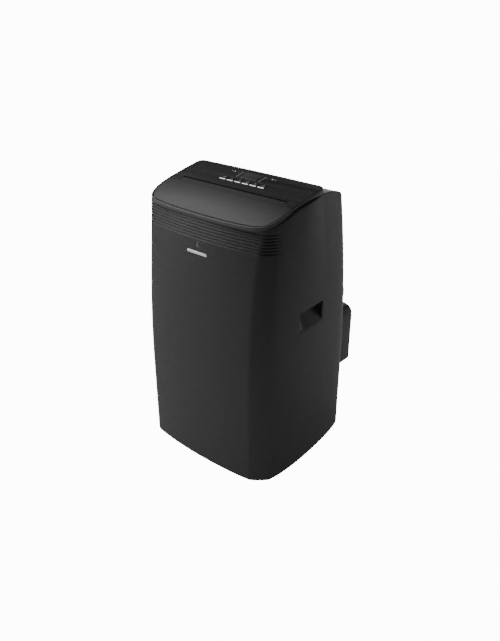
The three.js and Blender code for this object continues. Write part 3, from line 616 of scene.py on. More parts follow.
# Grey print with a faint emission: its own colour plus a faint painted glow.
GREY_PRINT_WITH_PAINTED_GLOW = finish_of("grey_print_painted_glow", (0.50, 0.51, 0.52), 0.5, grain=0.02, mottle=0.05, dust=0.0,
                       Emission_Color=(1, 1, 1, 1), Emission_Strength=0.10)
SMOKED = finish_of("smoked_window", (0.075, 0.077, 0.08), 0.12, grain=0.0, mottle=0.10, spread=0.04,
                   dust=0.1, coat=0.7)
BRIGHT = finish_of("bright_plate", (0.82, 0.82, 0.83), 0.20, grain=0.03, mottle=0.02, metallic=1.0,
                   dust=0.0, spread=0.06)
NET = finish_of("filter_net", (0.2, 0.2, 0.2), 0.7, pattern=netting)
FINS = finish_of("coil_fins", (0.5, 0.5, 0.5), 0.38, metallic=1.0, pattern=fins)
COPPER = finish_of("copper_tube", (0.72, 0.36, 0.20), 0.28, metallic=1.0, mottle=0.18, grain=0.05)
ZINC = finish_of("galvanised_sheet", (0.50, 0.51, 0.52), 0.42, metallic=1.0, mottle=0.22, pattern=weathered_plate)
PAINT = finish_of("compressor_paint", (0.010, 0.010, 0.010), 0.32, mottle=0.1, coat=0.3)
RUBBER = finish_of("black_rubber", (0.012, 0.012, 0.012), 0.78, grain=0.3, grain_size=700.0)
CASTER_PLASTIC = finish_of("caster_nylon", (0.022, 0.022, 0.023), 0.5, grain=0.15)
TREAD = finish_of("caster_tread", (0.030, 0.030, 0.031), 0.62, grain=0.25, grain_size=800.0, dust=0.8)
BOARD = finish_of("circuit_board", (0.012, 0.10, 0.045), 0.4, coat=0.4)

# ---- camera, floor and light

cam_data = bpy.data.cameras.new("camera")
cam_data.lens = 37.83
cam_data.sensor_fit = "AUTO"
cam_data.sensor_width = 36
cam_data.clip_end = 60
camera = bpy.data.objects.new("camera", cam_data)
camera.location = (1.0764, -1.2655, 1.1988)
camera.rotation_euler = (math.radians(62.8), 0, math.radians(40.9))
bpy.context.scene.collection.objects.link(camera)
bpy.context.scene.camera = camera


def bright_to_view(tree, plain, out, strength):
    """White where it is looked at directly; a softer light for the object."""
    glow = node(tree, "ShaderNodeEmission", Strength=strength)
    glow.inputs["Color"].default_value = (1, 1, 1, 1)
    ray, mix = tree.nodes.new("ShaderNodeLightPath"), tree.nodes.new("ShaderNodeMixShader")
    tree.links.new(ray.outputs["Is Camera Ray"], mix.inputs[0])
    tree.links.new(plain, mix.inputs[1])
    tree.links.new(glow.outputs[0], mix.inputs[2])
    tree.links.new(mix.outputs[0], out)


floor_paint = bpy.data.materials.new("studio_floor")
floor_paint.use_nodes = True
paint = floor_paint.node_tree.nodes["Principled BSDF"]
paint.inputs["Base Color"].default_value = (0.86, 0.86, 0.86, 1)
paint.inputs["Roughness"].default_value = 0.9
paint.inputs["Emission Color"].default_value = (1, 1, 1, 1)
paint.inputs["Emission Strength"].default_value = 0.15
bright_to_view(floor_paint.node_tree, paint.outputs[0],
               floor_paint.node_tree.nodes["Material Output"].inputs["Surface"], 13.0)
bpy.ops.object.select_all(action="DESELECT")
bpy.ops.mesh.primitive_plane_add(size=40, location=(0, 0, -0.0002))
floor = bpy.context.object
floor.name = "floor"
floor.data.materials.append(floor_paint)

world = bpy.data.worlds.new("studio")
world.use_nodes = True
sky = world.node_tree.nodes["Background"]
sky.inputs["Color"].default_value = (1, 1, 1, 1)
sky.inputs["Strength"].default_value = 0.085
bright_to_view(world.node_tree, sky.outputs[0], world.node_tree.nodes["World Output"].inputs["Surface"], 13.0)
bpy.context.scene.world = world


def softbox(name, energy, size, place, target):
    data = bpy.data.lights.new(name, "AREA")
    data.shape = "RECTANGLE"
    data.size, data.size_y = size
    data.energy = energy
    lamp = bpy.data.objects.new(name, data)
    lamp.location = place
    lamp.rotation_euler = (Vector(target) - Vector(place)).to_track_quat("-Z", "Y").to_euler()
    bpy.context.scene.collection.objects.link(lamp)
    return lamp


softbox("left_box", 30, (1.6, 2.2), (-2.2, -1.9, 1.5), (0, 0, 0.35))
softbox("top_box", 31, (2.6, 2.0), (-1.7, -0.3, 2.85), (0, -0.05, 0.6))
softbox("rear_box", 7, (1.2, 1.2), (-0.9, 2.4, 1.1), (0, 0.1, 0.7))
softbox("rear_right_box", 3, (0.4, 1.5), (1.2, 2.4, 0.75), (0.1, 0.1, 0.4))


# ---- cutters and small stock

def prism(name, outline, axis, a, b):
    """A straight bar with this outline. Outlines are (y, z) along x, (x, z) along y and (x, y) along z."""
    lay = {"x": lambda p: (a, p[0], p[1]), "y": lambda p: (p[0], a, p[1]), "z": lambda p: (p[0], p[1], a)}[axis]
    obj = drawn(name, [lay(p) for p in outline])
    edit(obj)
    bpy.ops.mesh.edge_face_add()
    move = [0, 0, 0]
    move["xyz".index(axis)] = b - a
    bpy.ops.mesh.extrude_region_move(TRANSFORM_OT_translate={"value": move})
    bpy.ops.mesh.select_all(action="SELECT")
    bpy.ops.mesh.normals_make_consistent(inside=False)
    leave()
    obj.data.attributes.remove(obj.data.attributes["station"])
    return obj


def on_panel(obj, x, y):
    """Lays a piece, drawn about its own centre, on the control panel's slope."""
    obj.rotation_euler = (TILT, 0, 0)
    obj.location = (x, y, shield_top(x, y))
    return placed(obj)


def stroke(name, points, width, closed=False):
    """A printed line: a round-ended curve made a mesh and pressed flat."""
    curve = bpy.data.curves.new(name, "CURVE")
    curve.dimensions = "3D"
    curve.bevel_depth = width / 2
    curve.bevel_resolution = 1
    curve.use_fill_caps = True
    line = curve.splines.new("POLY")
    line.points.add(len(points) - 1)
    for p, (x, y) in zip(line.points, points):
        p.co = (x, y, 0, 1)
    line.use_cyclic_u = closed
    obj = bpy.data.objects.new(name, curve)
    bpy.context.scene.collection.objects.link(obj)
    pick(obj)
    bpy.ops.object.convert(target="MESH")
    obj = bpy.context.object
    obj.scale = (1, 1, 0.16 / width)
    return placed(obj)


def arc(cx, cy, r, start, end, n=14):
    return [(cx + r * math.cos(math.radians(start + (end - start) * i / n)),
             cy + r * math.sin(math.radians(start + (end - start) * i / n))) for i in range(n + 1)]


def fillet(outline, corners, r):
    """Rounds the named corners of an outline."""
    out = []
    for i, p in enumerate(outline):
        if i not in corners:
            out.append(p)
            continue
        before, after = outline[i - 1], outline[(i + 1) % len(outline)]
        ends = []
        for q in (before, after):
            length = math.dist(p, q)
            share = min(r / length, 0.45)
            ends.append((p[0] + (q[0] - p[0]) * share, p[1] + (q[1] - p[1]) * share))
        out += [ends[0]] + quadratic(ends[0], p, ends[1], 4)
    return out


# ---- housings

INNER_LEVELS = [640, 560, 480, 400, 300, 245, 120, 24]
outlines = {}


def front_plan(z, by):
    key = (round(min(z, 700), 2), by)
    if key not in outlines:
        half = cabinet_half(corner_share(z)) + rear_corner(0, SEAM_TURN, 6)[1:]
        outlines[key] = inset(mirrored(half), by, closed=False)
    return outlines[key]


REAR_PLAN = rear_corner(SEAM_TURN + 0.012, 1, 8) + [(150 - 25 * i, REAR) for i in range(13)]
REAR_PLAN += [(-x, y) for x, y in reversed(rear_corner(SEAM_TURN + 0.012, 1, 8))]


def rear_plan(z, by):
    if by not in outlines:
        outlines[by] = inset(REAR_PLAN, by, closed=False)
    return outlines[by]


def upper_edge(plan, station):
    x, y = plan(700, 0)[station]
    z = 720
    for _ in range(4):
        z = wall_top(leaned(x, y, z).y)
    return z


def housing(name, plan, levels, shoulder, last, ribs=False):
    """A wall with a rolled upper edge: up the outside, over the edge, down the inside and back underneath."""
    rings = [("z", 20.0, 0.5), ("z", 20.15, 0.15)] + [("z", z, 0) for z in levels]
    rings += [("rise", t, 0) for t in (0.2, 0.4, 0.6, 0.8, 1.0)] + [("roll", a, 0) for a in (18, 36, 54, 72, 90)]
    rings += [("down", 0.0, WALL - 0.5), ("down", 0.5, WALL), ("down", 6, WALL)]
    rings += [("z", z, WALL) for z in INNER_LEVELS] + [("z", 20.0, WALL - 0.5), ("z", 20.0, 0.5)]
    count = len(plan(20, 0))
    tops = [upper_edge(plan, i) for i in range(count)]

    def place(station, ring):
        kind, value, by = rings[ring]
        top = tops[station]
        ahead = leaned(*plan(700, 0)[station], top).y
        r = shoulder(ahead)
        if kind == "z":
            z = value
        elif kind == "rise":
            z = last + (top - r - last) * value
        elif kind == "roll":
            by, z = r * (1 - math.cos(math.radians(value))), top - r + r * math.sin(math.radians(value))
        else:
            z = top - value
        x, y = plan(z, 0)[station]
        p = leaned(x, y, z)
        phase = (RIB_TOP + 0.25 - z) / RIB_PITCH
        if ribs and kind == "z" and 0 < phase < RIB_COUNT and by == 0:
            fade = 1 - smoothstep(-116, -84, p.y)
            by = RIB_DEPTH * (0.5 - 0.5 * math.cos(2 * math.pi * phase)) ** 1.8 * fade
        if by:
            a, b = plan(z, 0)[max(station - 1, 0)], plan(z, 0)[min(station + 1, count - 1)]
            length = math.dist(a, b)
            x, y = x - (b[1] - a[1]) / length * by, y + (b[0] - a[0]) / length * by
            p = leaned(x, y, z)
        return p
    return capped(pulled(name, count, len(rings), place, closed=False))


def span(a, b, step):
    n = max(round((b - a) / step), 1)
    return [a + (b - a) * i / n for i in range(n + 1)]


front_levels = [20.6] + span(32, 402, 23) + span(408, 482, 6) + span(492, 636, 16) + [640]
front_levels += [RIB_TOP + 0.25 - RIB_PITCH * i / 8 for i in range(8 * RIB_COUNT, -1, -1)]
front = housing("front", front_plan, front_levels, lambda y: 1.2 + 1.4 * smoothstep(-125, -90, y),
                RIB_TOP + 0.3, ribs=True)
grip = rounded(HANDLE[0], HANDLE[1], HANDLE[2], HANDLE[3], HANDLE_R, n=8)
cut(front, prism("grip_right", grip, "x", 190, 250), prism("grip_left", grip, "x", -250, -190),
    rod("eye_hole", "y", 6.5, -190, -130, (0, 0, 630), 32))
eased(front, 0.5, 2, 55)
settled(painted(smoothed(front, 40), HOUSING), "front_housing_made", "cabinet", "housing_plastic", "front_housing")

rear = housing("rear", rear_plan, [20.6] + span(40, 660, 20), lambda y: 1.6, 662)
cut(rear, *[prism("opening", rounded(*g, 3), "y", 150, 260) for g in (UPPER_GRILLE, LOWER_GRILLE)],
    prism("duct", rounded(EXHAUST_X - COLLAR - 0.4, EXHAUST_X + COLLAR + 0.4, EXHAUST_Z - COLLAR - 0.4,
                          EXHAUST_Z + COLLAR + 0.4, 2), "y", 150, 260),
    rod("lead_hole", "y", 9.2, 190, 260, (GLAND[0], 0, GLAND[1]), 32),
    *[rod("drain", "y", 8.2, 170, 260, (x, 0, z), 32) for x, z in PLUGS.values()])
eased(rear, 0.5, 2, 50)
settled(painted(smoothed(rear, 35), REAR_PLASTIC), "rear_housing_made", "cabinet", "rear_plastic", "rear_housing")


# ---- top cover

def rim_bottom(x, y):
    return wall_top(y) + 0.6 - 1.8 * smoothstep(-134, -118, y)


rim_rings = [(0.6, "low", 0), (0.1, "low", 0.25), (0, "low", 0.8), (0, "top", -1.6), (0.12, "top", -1.0),
             (0.47, "top", -0.47), (1.0, "top", -0.12), (1.6, "top", 0), (3.5, "top", 0), (4.1, "top", -0.12),
             (4.4, "top", -0.42), (4.5, "top", -1.0), (4.5, "top", -POCKET), (10.6, "top", -POCKET),
             (10.6, "top", -6.7), (2.5, "low", 0), (0.6, "low", 0)]
rim_lines = [shield_outline(by) for by, _, _ in rim_rings]


def rim_place(station, ring):
    (x, y), (_, kind, h) = rim_lines[ring][station], rim_rings[ring]
    return Vector((x, y, (shield_top(x, y) if kind == "top" else rim_bottom(x, y)) + h))


rim = outward(pulled("rim", len(rim_lines[0]), len(rim_rings), rim_place))

deck_half = cabinet_half(1) + rear_corner(0, 1, 12)[1:] + [(120, REAR), (80, REAR), (40, REAR), (0, REAR)]
deck_loop = inset(mirrored(deck_half)[1:], WALL + 0.8)
deck_loop = [leaned(x, y, wall_top(leaned(x, y, 725).y)).xy for x, y in deck_loop]
deck = slab("deck", deck_loop, lambda x, y: wall_top(y) - 0.9, 2.6, span(-132, 184, 9))
cut(deck, upright("under_shield", shield_outline(2.2), 600, 800))
ledge = slab("ledge", shield_outline(10.4), lambda x, y: shield_top(x, y) - POCKET - 0.02, 2.6, span(-128, 62, 8))
cut(ledge, block("outlet_cut", *OUTLET, 600, 800), block("panel_cut", -150, 150, -8, 62, 600, 800))
eased(ledge, 0.5, 2)
eased(deck, 0.4, 2)
cover = together("cover", rim, deck, ledge)
settled(painted(smoothed(cover, 36), TRIM), "top_cover_made", "cabinet", "trim_plastic", "top_cover")

# ---- air flap and control panel

plate_line = shield_outline(RIM + RIM_GAP + PLATE_EASE)


def crossing(y_at):
    """Where the plates' outline meets a line across, on the right side."""
    for a, b in zip(plate_line, plate_line[1:]):
        if a[1] <= y_at < b[1] and a[0] > 0:
            return a[0] + (b[0] - a[0]) * (y_at - a[1]) / (b[1] - a[1])
    return 200.0


flap_rear = TAB_Y - TAB_GAPS[0]
flap_x = TAB_X - TAB_GAPS[1]
right_chain = [p for p in plate_line[:len(plate_line) // 2] if p[1] < flap_rear - 1]
flap_line = [(-x, y) for x, y in reversed(right_chain[1:])] + right_chain
flap_line += [(crossing(flap_rear), flap_rear), (flap_x, flap_rear), (flap_x, HINGE_Y), (-flap_x, HINGE_Y),
              (-flap_x, flap_rear), (-crossing(flap_rear), flap_rear)]
count = len(flap_line)
flap_line = fillet(flap_line, {count - 6, count - 5, count - 2, count - 1}, 2.2)
flap = slab("flap", flap_line, shield_top, PLATE, span(-136, -30, 5))
eased(flap, 0.75, 3)
hinge_z = shield_top(0, HINGE_Y) - HINGE_DEPTH
barrel = rod("barrel", "x", 3.6, -flap_x, flap_x, (0, HINGE_Y, hinge_z), 28)
eased(barrel, 0.3, 2)
pins = rod("pins", "x", 1.8, -173.5, 173.5, (0, HINGE_Y, hinge_z), 20)
under = []
for y in (-110, -84, -58):
    under.append(slab("stiffener", [(-138, y - 0.8), (138, y - 0.8), (138, y + 0.8), (-138, y + 0.8)],
                      lambda x, y: shield_top(x, y) - PLATE + 0.4, 4.4, []))
for x in (-137, -69, 0, 69, 137):
    under.append(slab("stiffener", [(x - 0.8, -110), (x + 0.8, -110), (x + 0.8, -36), (x - 0.8, -36)],
                      lambda x, y: shield_top(x, y) - PLATE + 0.4, 4.2, span(-104, -42, 8)))
flap = together("flap", flap, barrel, pins, *under)
settled(painted(smoothed(flap, 34), FLAP), "air_flap_made", "air_flap", "flap_plastic", "air_flap")

rear_chain = [p for p in plate_line[:len(plate_line) // 2 + 1] if p[1] > TAB_Y + 1]
panel_line = [(crossing(TAB_Y), TAB_Y)] + rear_chain + [(-x, y) for x, y in reversed(rear_chain[:-1])]
panel_line += [(-crossing(TAB_Y), TAB_Y), (-TAB_X, TAB_Y), (-TAB_X, -21.6), (TAB_X, -21.6), (TAB_X, TAB_Y)]
count = len(panel_line)
panel_line = fillet(panel_line, {0, count - 5, count - 4, count - 1}, 2.2)
panel = slab("panel", panel_line, shield_top, PLATE, [-38, -33, -28, -24] + span(-15, 70, 14))
key_x = [(i - 2.5) * KEY_PITCH for i in range(6)]
edge = KEY / 2 + 0.4
for x in key_x:
    cut(panel, on_panel(prism("key_hole", rounded(-edge, edge, -edge, edge, 2), "z", -20, 20), x, KEY_Y))
w, d = WINDOW_W / 2 + 0.3, WINDOW_D / 2 + 0.3
cut(panel, on_panel(prism("window_hole", rounded(-w, w, -d, d, 1.6), "z", -20, 20), 0, WINDOW_Y))
eased(panel, 0.55, 3, 48)
lugs = []
for side in (-1, 1):
    a, b = sorted(side * x for x in LUG_X)
    lug = block("lug", a, b, HINGE_Y - 4.5, HINGE_Y + 4.5, 724, shield_top(0, HINGE_Y) - 2)
    lugs.append(eased(cut(lug, rod("bore", "x", 2.2, -174.5, 174.5, (0, HINGE_Y, hinge_z), 20)), 0.5))
panel = painted(smoothed(together("panel", panel, *lugs), 34), PANEL)

prints = []
for side in (-1, 1):
    for row in range(6):
        bar = prism("mark", rounded(-1.7, 1.7, -1.0, 1.0, 0.6, n=3), "z", -0.05, 0.07)
        prints.append(painted(on_panel(bar, side * (36 + 0.3 * row), 31 + 5 * row), GREY_PRINT_WITH_PAINTED_GLOW))
    dot = rod("dot", "z", 1.5, -0.05, 0.09, (0, 0, 0), 18)
    prints.append(painted(on_panel(dot, side * 61, 53), PRINT_WITH_PAINTED_GLOW))
    line = prism("mark", rounded(-3, 3, -0.8, 0.8, 0.5, n=3), "z", -0.05, 0.07)
    prints.append(painted(on_panel(line, side * 69, 53), GREY_PRINT_WITH_PAINTED_GLOW))
    small = rod("dot", "z", 0.9, -0.05, 0.08, (0, 0, 0), 14)
    prints.append(painted(on_panel(small, side * 46, 50), GREY_PRINT_WITH_PAINTED_GLOW))
panel = together("panel", panel, *prints)
settled(panel, "control_panel_made", "cabinet", "panel_plastic", "control_panel")

frame_line = rounded(-26, 26, -14, 14, 1.4)
glass = eased(prism("glass", frame_line, "z", -3.2, 0.25), 0.35, 2)
settled(painted(smoothed(on_panel(glass, 0, WINDOW_Y)), SMOKED), "display_window_made", "cabinet", "display",
        "display_window")

ICONS = [
    [(arc(0, 0, 3.3, 0, 360), False), ([(0, 2.2), (0, 0), (1.6, -1.0)], False)],
    [([(-3, -1.2), (0, 1.8), (3, -1.2)], False), ([(-3, -3.2), (0, -0.2), (3, -3.2)], False)],
    [([(-3, 1.2), (0, -1.8), (3, 1.2)], False), ([(-3, 3.2), (0, 0.2), (3, 3.2)], False)],
    [(arc(1.5, 1.5, 1.8, -135, 135), False), (arc(-2, 0.6, 1.8, -15, 255), False),
     (arc(0.5, -2, 1.8, 105, 375), False)],
    [([(3.4 * math.cos(a), 3.4 * math.sin(a)), (-3.4 * math.cos(a), -3.4 * math.sin(a))], False)
     for a in (math.pi / 2, math.pi / 6, -math.pi / 6)],
    [(arc(0, 0, 3.2, 125, 415), False), ([(0, 4.0), (0, 0.4)], False)],
]
for i, x in enumerate(key_x):
    cap = prism("cap", rounded(-KEY / 2, KEY / 2, -KEY / 2, KEY / 2, 1.7), "z", -2.5, 0.5)
    cap = painted(smoothed(eased(cap, 0.45, 3)), KEY_CAP)
    dash = painted(prism("dash", rounded(-9.6, 9.6, -9.9, -6.3, 0.9, n=4), "z", 0.3, 0.58), PRINT_WITH_PAINTED_GLOW)
    signs = []
    for points, closed in ICONS[i]:
        sign = stroke("sign", [(px, py + 1.6) for px, py in points], 0.8, closed)
        sign.location = (0, 0, 0.54)
        signs.append(painted(placed(sign), GREY_PRINT_WITH_PAINTED_GLOW))
    cap = together("cap", cap, dash, *signs)
    settled(on_panel(cap, x, KEY_Y), f"key_{i + 1}_made", f"key_{i + 1}", "key_plastic", f"key_{i + 1}")


# ---- front details

def front_y(x, z):
    """The front wall's surface at a height."""
    flat = abs(x) / (1 - LEAN_X * lean_share(z))
    line = cabinet_half(corner_share(z))
    for a, b in zip(line, line[1:]):
        if a[0] <= flat <= b[0]:
            y = a[1] + (b[1] - a[1]) * (flat - a[0]) / (b[0] - a[0])
            return leaned(x, y, z).y
    return leaned(x, FRONT, z).y


badge = prism("badge", rounded(-33, 33, 606.8, 613.2, 3.1, n=10), "y", -1.2, 0.6)
edit(badge)
for x in (-24, -12, 0, 12, 24):
    bpy.ops.mesh.select_all(action="SELECT")
    bpy.ops.mesh.bisect(plane_co=(x, 0, 0), plane_no=(1, 0, 0))
leave()
eased(badge, 0.45, 3)
for v in badge.data.vertices:
    v.co.y += front_y(v.co.x, v.co.z)
settled(painted(smoothed(badge), BRIGHT), "front_badge_made", "cabinet", "badge", "front_badge")

eye = eased(rod("eye", "y", 6.1, -0.15, 5.5, (0, 0, 0), 40), 0.6, 3)
eye.rotation_euler = (-SLOPE_TO_EYE, 0, 0)
eye.location = (0, front_y(0, 630), 630)
settled(painted(smoothed(placed(eye)), SMOKED), "receiver_window_made", "cabinet", "display", "receiver_window")


# ---- grip pockets

def side_x(y, z):
    """The right side wall's surface."""
    line = cabinet_half(corner_share(z))[31:]
    for a, b in zip(line, line[1:]):
        pa, pb = leaned(a[0], a[1], z), leaned(b[0], b[1], z)
        if pa.y <= y <= pb.y:
            return pa.x + (pb.x - pa.x) * (y - pa.y) / (pb.y - pa.y)
    return 215.0


def pocket_depth(y, z):
    """The floor falls away from the lower edge up to the ceiling, and runs out towards the front."""
    share = min(max((z - HANDLE[2] - 3) / (HANDLE[3] - 6 - HANDLE[2] - 3), 0), 1)
    ceiling = 1 - smoothstep(HANDLE[3] - 4.2, HANDLE[3] - 2.6, z)
    back = 1 - smoothstep(HANDLE[1] - 3.6, HANDLE[1] - 2.4, y)
    ahead = smoothstep(HANDLE[0] + 1, HANDLE[0] + 20, y)
    return (HANDLE_DEPTH - 2) * share * ceiling * back * ahead


def pocket(side):
    steps = [0.4, 0.9, 1.5, 2.1, 2.6, 3.0, 3.5, 4.0, 4.6, 6, 8, 10.5, 13, 16, 19, 22, 25]
    lines = [rounded(HANDLE[0] + s, HANDLE[1] - s, HANDLE[2] + s, HANDLE[3] - s, max(HANDLE_R - s, 1.2), n=8)
             for s in steps]

    def spread(line):
        """Adds points along the straight sides, so that the floor follows its slope."""
        out = []
        for a, b in zip(line, line[1:] + line[:1]):
            out.append(a)
            if math.dist(a, b) > 3:
                out += [(a[0] + (b[0] - a[0]) * k / 12, a[1] + (b[1] - a[1]) * k / 12) for k in range(1, 12)]
        return out
    lines = [spread(line) for line in lines]

    def place(station, ring):
        if ring == 0:
            y, z = lines[0][station]
            return Vector((side * (side_x(y, z) - 5), y, z))
        y, z = lines[ring - 1][station]
        sunk = (0.5 if ring == 1 else 0.1 if ring == 2 else 0.02) + pocket_depth(y, z)
        return Vector((side * (side_x(y, z) - sunk), y, z))
    count = min(len(line) for line in lines)
    obj = pulled("pocket", count, len(lines) + 1, place)
    edit(obj)
    choose(obj, edges=lambda e: e.is_boundary and all(
        abs(v.co.y - HANDLE[0]) > 12 and abs(v.co.y - HANDLE[1]) > 12 for v in e.verts)
        and all(abs(abs(v.co.z) - HANDLE[2]) > 12 and abs(v.co.z - HANDLE[3]) > 12 for v in e.verts))
    bpy.ops.mesh.edge_face_add()
    leave()
    outward(obj)
    return worked(obj, "SOLIDIFY", thickness=1.6, offset=-1)


for side, name in ((1, "right_handle"), (-1, "left_handle")):
    settled(painted(smoothed(pocket(side), 40), HOUSING), name + "_made", "cabinet", "housing_plastic", name)

# ---- hose adapter

box_half = EXHAUST_BOX / 2
box_line = []
for a, b in (lambda line: zip(line, line[1:] + line[:1]))(
        rounded(EXHAUST_X - box_half, EXHAUST_X + box_half, EXHAUST_Z - box_half, EXHAUST_Z + box_half, 9, 28, n=9)):
    pieces = max(int(math.dist(a, b) / 9), 1)
    box_line += [(a[0] + (b[0] - a[0]) * k / pieces, a[1] + (b[1] - a[1]) * k / pieces) for k in range(pieces)]
adapter_rings = [("box", 9, 229), ("box", 1.0, 227), ("box", 0.3, 227.2), ("box", 0, 228), ("box", 0, 240),
                 ("box", 0, 293.5), ("box", 0.5, 296.2), ("box", 1.9, 298.4), ("box", 4.0, 299.6), ("box", 6.5, 300),
                 ("round", 76, 300), ("round", 73.4, 300), ("round", 72.4, 299.7), ("round", EXHAUST_BORE, 298.8),
                 ("round", EXHAUST_BORE, 294.4), ("round", 72.4, 294), ("round", 78, 294), ("round", 78, 268),
                 ("round", EXHAUST_BORE, 268), ("round", EXHAUST_BORE, 262), ("box", 9, 262), ("box", 9, 229)]
adapter_lines = {v: inset(box_line, v) for k, v, _ in adapter_rings if k == "box"}


def adapter_place(station, ring):
    kind, value, y = adapter_rings[ring]
    if kind == "box":
        x, z = adapter_lines[value][station]
        return Vector((x, y, z))
    x, z = box_line[station]
    a = math.atan2(z - EXHAUST_Z, x - EXHAUST_X)
    return Vector((EXHAUST_X + value * math.cos(a), y, EXHAUST_Z + value * math.sin(a)))


adapter = outward(pulled("adapter", len(box_line), len(adapter_rings), adapter_place))
settled(painted(smoothed(adapter, 40), HOUSING), "hose_adapter_made", "hose_adapter", "trim_plastic", "hose_adapter")

# ---- intake grilles


def grille(name, opening, bars, columns):
    """A louvred frame: four rounded sides, tilted slats and upright ties, curved to the wall."""
    x0, x1, z0, z1 = [v + s * 0.4 for v, s in zip(opening, (1, -1, 1, -1))]
    inner = (x0 + 9, x1 - 9, z0 + 9, z1 - 9)
    ring = prism("ring", rounded(x0, x1, z0, z1, 2.6), "y", REAR - 5, REAR)
    cut(ring, prism("hollow", rounded(*inner, 2), "y", REAR - 10, REAR + 10))
    eased(ring, 0.7, 3)
    pitch = (z1 - z0 - 18) / (bars + 1)
    slat = prism("slat", [(REAR - 4.6, 3.6), (REAR - 4.6, 5.2), (REAR - 0.9, -3.2), (REAR - 0.9, -4.8)], "x",
                 inner[0] - 2, inner[1] + 2)
    eased(slat, 0.35, 2)
    pieces = [ring]
    for i in range(1, bars + 1):
        copy = slat.copy()
        copy.data = slat.data.copy()
        bpy.context.scene.collection.objects.link(copy)
        copy.location = (0, 0, z0 + 9 + pitch * i)
        pieces.append(placed(copy))
    bpy.data.objects.remove(slat)
    for i in range(1, columns + 1):
        x = x0 + (x1 - x0) * i / (columns + 1)
        pieces.append(eased(block("tie", x - 1.6, x + 1.6, REAR - 4.9, REAR - 2.2, inner[2] - 2, inner[3] + 2), 0.4))
    for side in (-1, 1):
        x = (x0 + x1) / 2 + side * (x1 - x0) * 0.36
        tab = rounded(x - 11, x + 11, z1 - 7.4, z1 - 2.2, 2.2, n=5)
        pieces.append(eased(prism("latch", tab, "y", REAR - 1, REAR + 0.9), 0.5))
    whole = together("whole", *pieces)
    edit(whole)
    for z in span(z0 + 12, z1 - 12, 24):
        bpy.ops.mesh.select_all(action="SELECT")
        bpy.ops.mesh.bisect(plane_co=(0, 0, z), plane_no=(0, 0, 1))
    leave()
    lean(whole)
    body = name.replace("grille", "intake")
    return settled(painted(smoothed(whole), REAR_PLASTIC), name + "_made", body, "rear_plastic", name)


grille("upper_grille", UPPER_GRILLE, 12, 2)
grille("lower_grille", LOWER_GRILLE, 15, 1)

# ---- casters

tyre_line = [(-10, 3.3), (-10, 6.6), (-8, 7.4), (-8, 11.4), (-9.6, 12.2), (-9.6, 15), (-9, 16.7), (-6.5, 17.7),
             (-2, 18), (-1.4, 17.5), (1.4, 17.5), (2, 18), (6.5, 17.7), (9, 16.7), (9.6, 15), (9.6, 12.2),
             (8, 11.4), (8, 7.4), (10, 6.6), (10, 3.3)]
wheel = drawn("wheel", [(x, 0, r) for x, r in tyre_line])
edit(wheel)
bpy.ops.mesh.spin(steps=40, angle=2 * math.pi, center=(0, 0, 0), axis=(1, 0, 0))
leave()
outward(wheel)
smoothed(wheel, 30)
wheel.data.materials.append(CASTER_PLASTIC)
wheel.data.materials.append(TREAD)
for face in wheel.data.polygons:
    face.material_index = int(math.hypot(face.center.y, face.center.z) > 14)
for i, (x, y) in enumerate(CASTERS, 1):
    copy = wheel.copy()
    copy.data = wheel.data.copy()
    bpy.context.scene.collection.objects.link(copy)
    copy.location = (x, y + 13, 18)
    settled(placed(copy), f"caster_wheel_{i}_made", f"caster_wheel_{i}", "caster_tread", f"caster_wheel_{i}")
    dressed(f"caster_fork_{i}", f"caster_fork_{i}", CASTER_PLASTIC, 0.6)
bpy.data.objects.remove(wheel)

# ---- screws

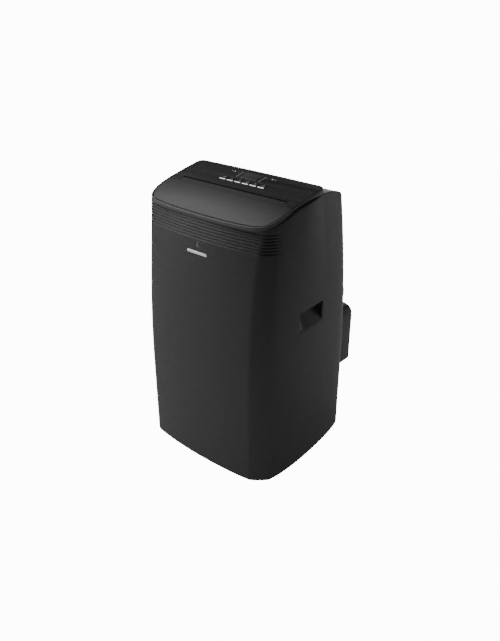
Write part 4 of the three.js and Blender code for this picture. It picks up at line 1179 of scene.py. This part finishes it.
screw = rod("screw", "y", 3.7, -2, 0.9, (0, 0, 0), 28)
eased(screw, 0.6, 3)
cut(screw, block("slot", -2.6, 2.6, 0.1, 2, -0.45, 0.45), block("slot", -0.45, 0.45, 0.1, 2, -2.6, 2.6))
smoothed(screw)
SCREWS = [(-125, 684), (0, 686), (125, 684), (-30, 420), (60, 420), (-150, 64), (20, 64), (150, 64)]
for i, (x, z) in enumerate(SCREWS, 1):
    copy = screw.copy()
    copy.data = screw.data.copy()
    bpy.context.scene.collection.objects.link(copy)
    copy.rotation_euler = (math.atan(2 * LEAN_Y * max(z - 245, 0) / 465 ** 2), math.radians(40 * i % 90), 0)
    copy.location = (x, leaned(0, REAR, z).y, z)
    settled(painted(placed(copy), ZINC), f"screw_{i}", "cabinet", "galvanised")
bpy.data.objects.remove(screw)

# ---- fittings and inner pieces

for name, slot, finish, width in (
        ("base_tray", "inner_black", INNER_BLACK, 0.5), ("exhaust_collar", "rear_plastic", REAR_PLASTIC, 0.6),
        ("cord_gland", "rubber", RUBBER, 0.7), ("upper_cord_hook", "rear_plastic", REAR_PLASTIC, 1.2),
        ("lower_cord_hook", "rear_plastic", REAR_PLASTIC, 1.2), ("outlet_duct", "inner_black", INNER_BLACK, 0.4),
        ("flap_motor", "inner_white", INNER_WHITE, 0.5), ("key_board", "circuit_board", BOARD, 0),
        ("evaporator_scroll", "inner_white", INNER_WHITE, 0), ("evaporator_motor", "galvanised", ZINC, 0.6),
        ("evaporator_coil", "coil_fins", FINS, 0), ("condenser_scroll", "inner_black", INNER_BLACK, 0),
        ("condenser_motor", "galvanised", ZINC, 0.6), ("condenser_coil", "coil_fins", FINS, 0),
        ("partition_deck", "inner_white", INNER_WHITE, 0), ("drip_tray", "inner_white", INNER_WHITE, 0.5),
        ("compressor", "compressor_paint", PAINT, 0), ("suction_pipe", "copper_tube", COPPER, 0),
        ("discharge_pipe", "copper_tube", COPPER, 0), ("electronics_box", "galvanised", ZINC, 0.5),
        ("condensate_pump", "inner_black", INNER_BLACK, 0.5)):
    dressed(name, "cabinet", finish, width)
for name, body, slot, finish, width in (
        ("upper_filter", "upper_intake", "filter_net", NET, 0),
        ("lower_filter", "lower_intake", "filter_net", NET, 0),
        ("evaporator_wheel", "cold_fan", "inner_black", INNER_BLACK, 0),
        ("condenser_wheel", "hot_fan", "inner_black", INNER_BLACK, 0),
        ("vane_link", "vane_link", "inner_black", INNER_BLACK, 0.4),
        ("upper_drain_plug", "upper_drain_plug", "rubber", RUBBER, 0.9),
        ("lower_drain_plug", "lower_drain_plug", "rubber", RUBBER, 0.9),
        *[(f"guide_vane_{i}", f"guide_vane_{i}", "inner_black", INNER_BLACK, 0.5) for i in range(1, 6)]):
    dressed(name, body, finish, width)
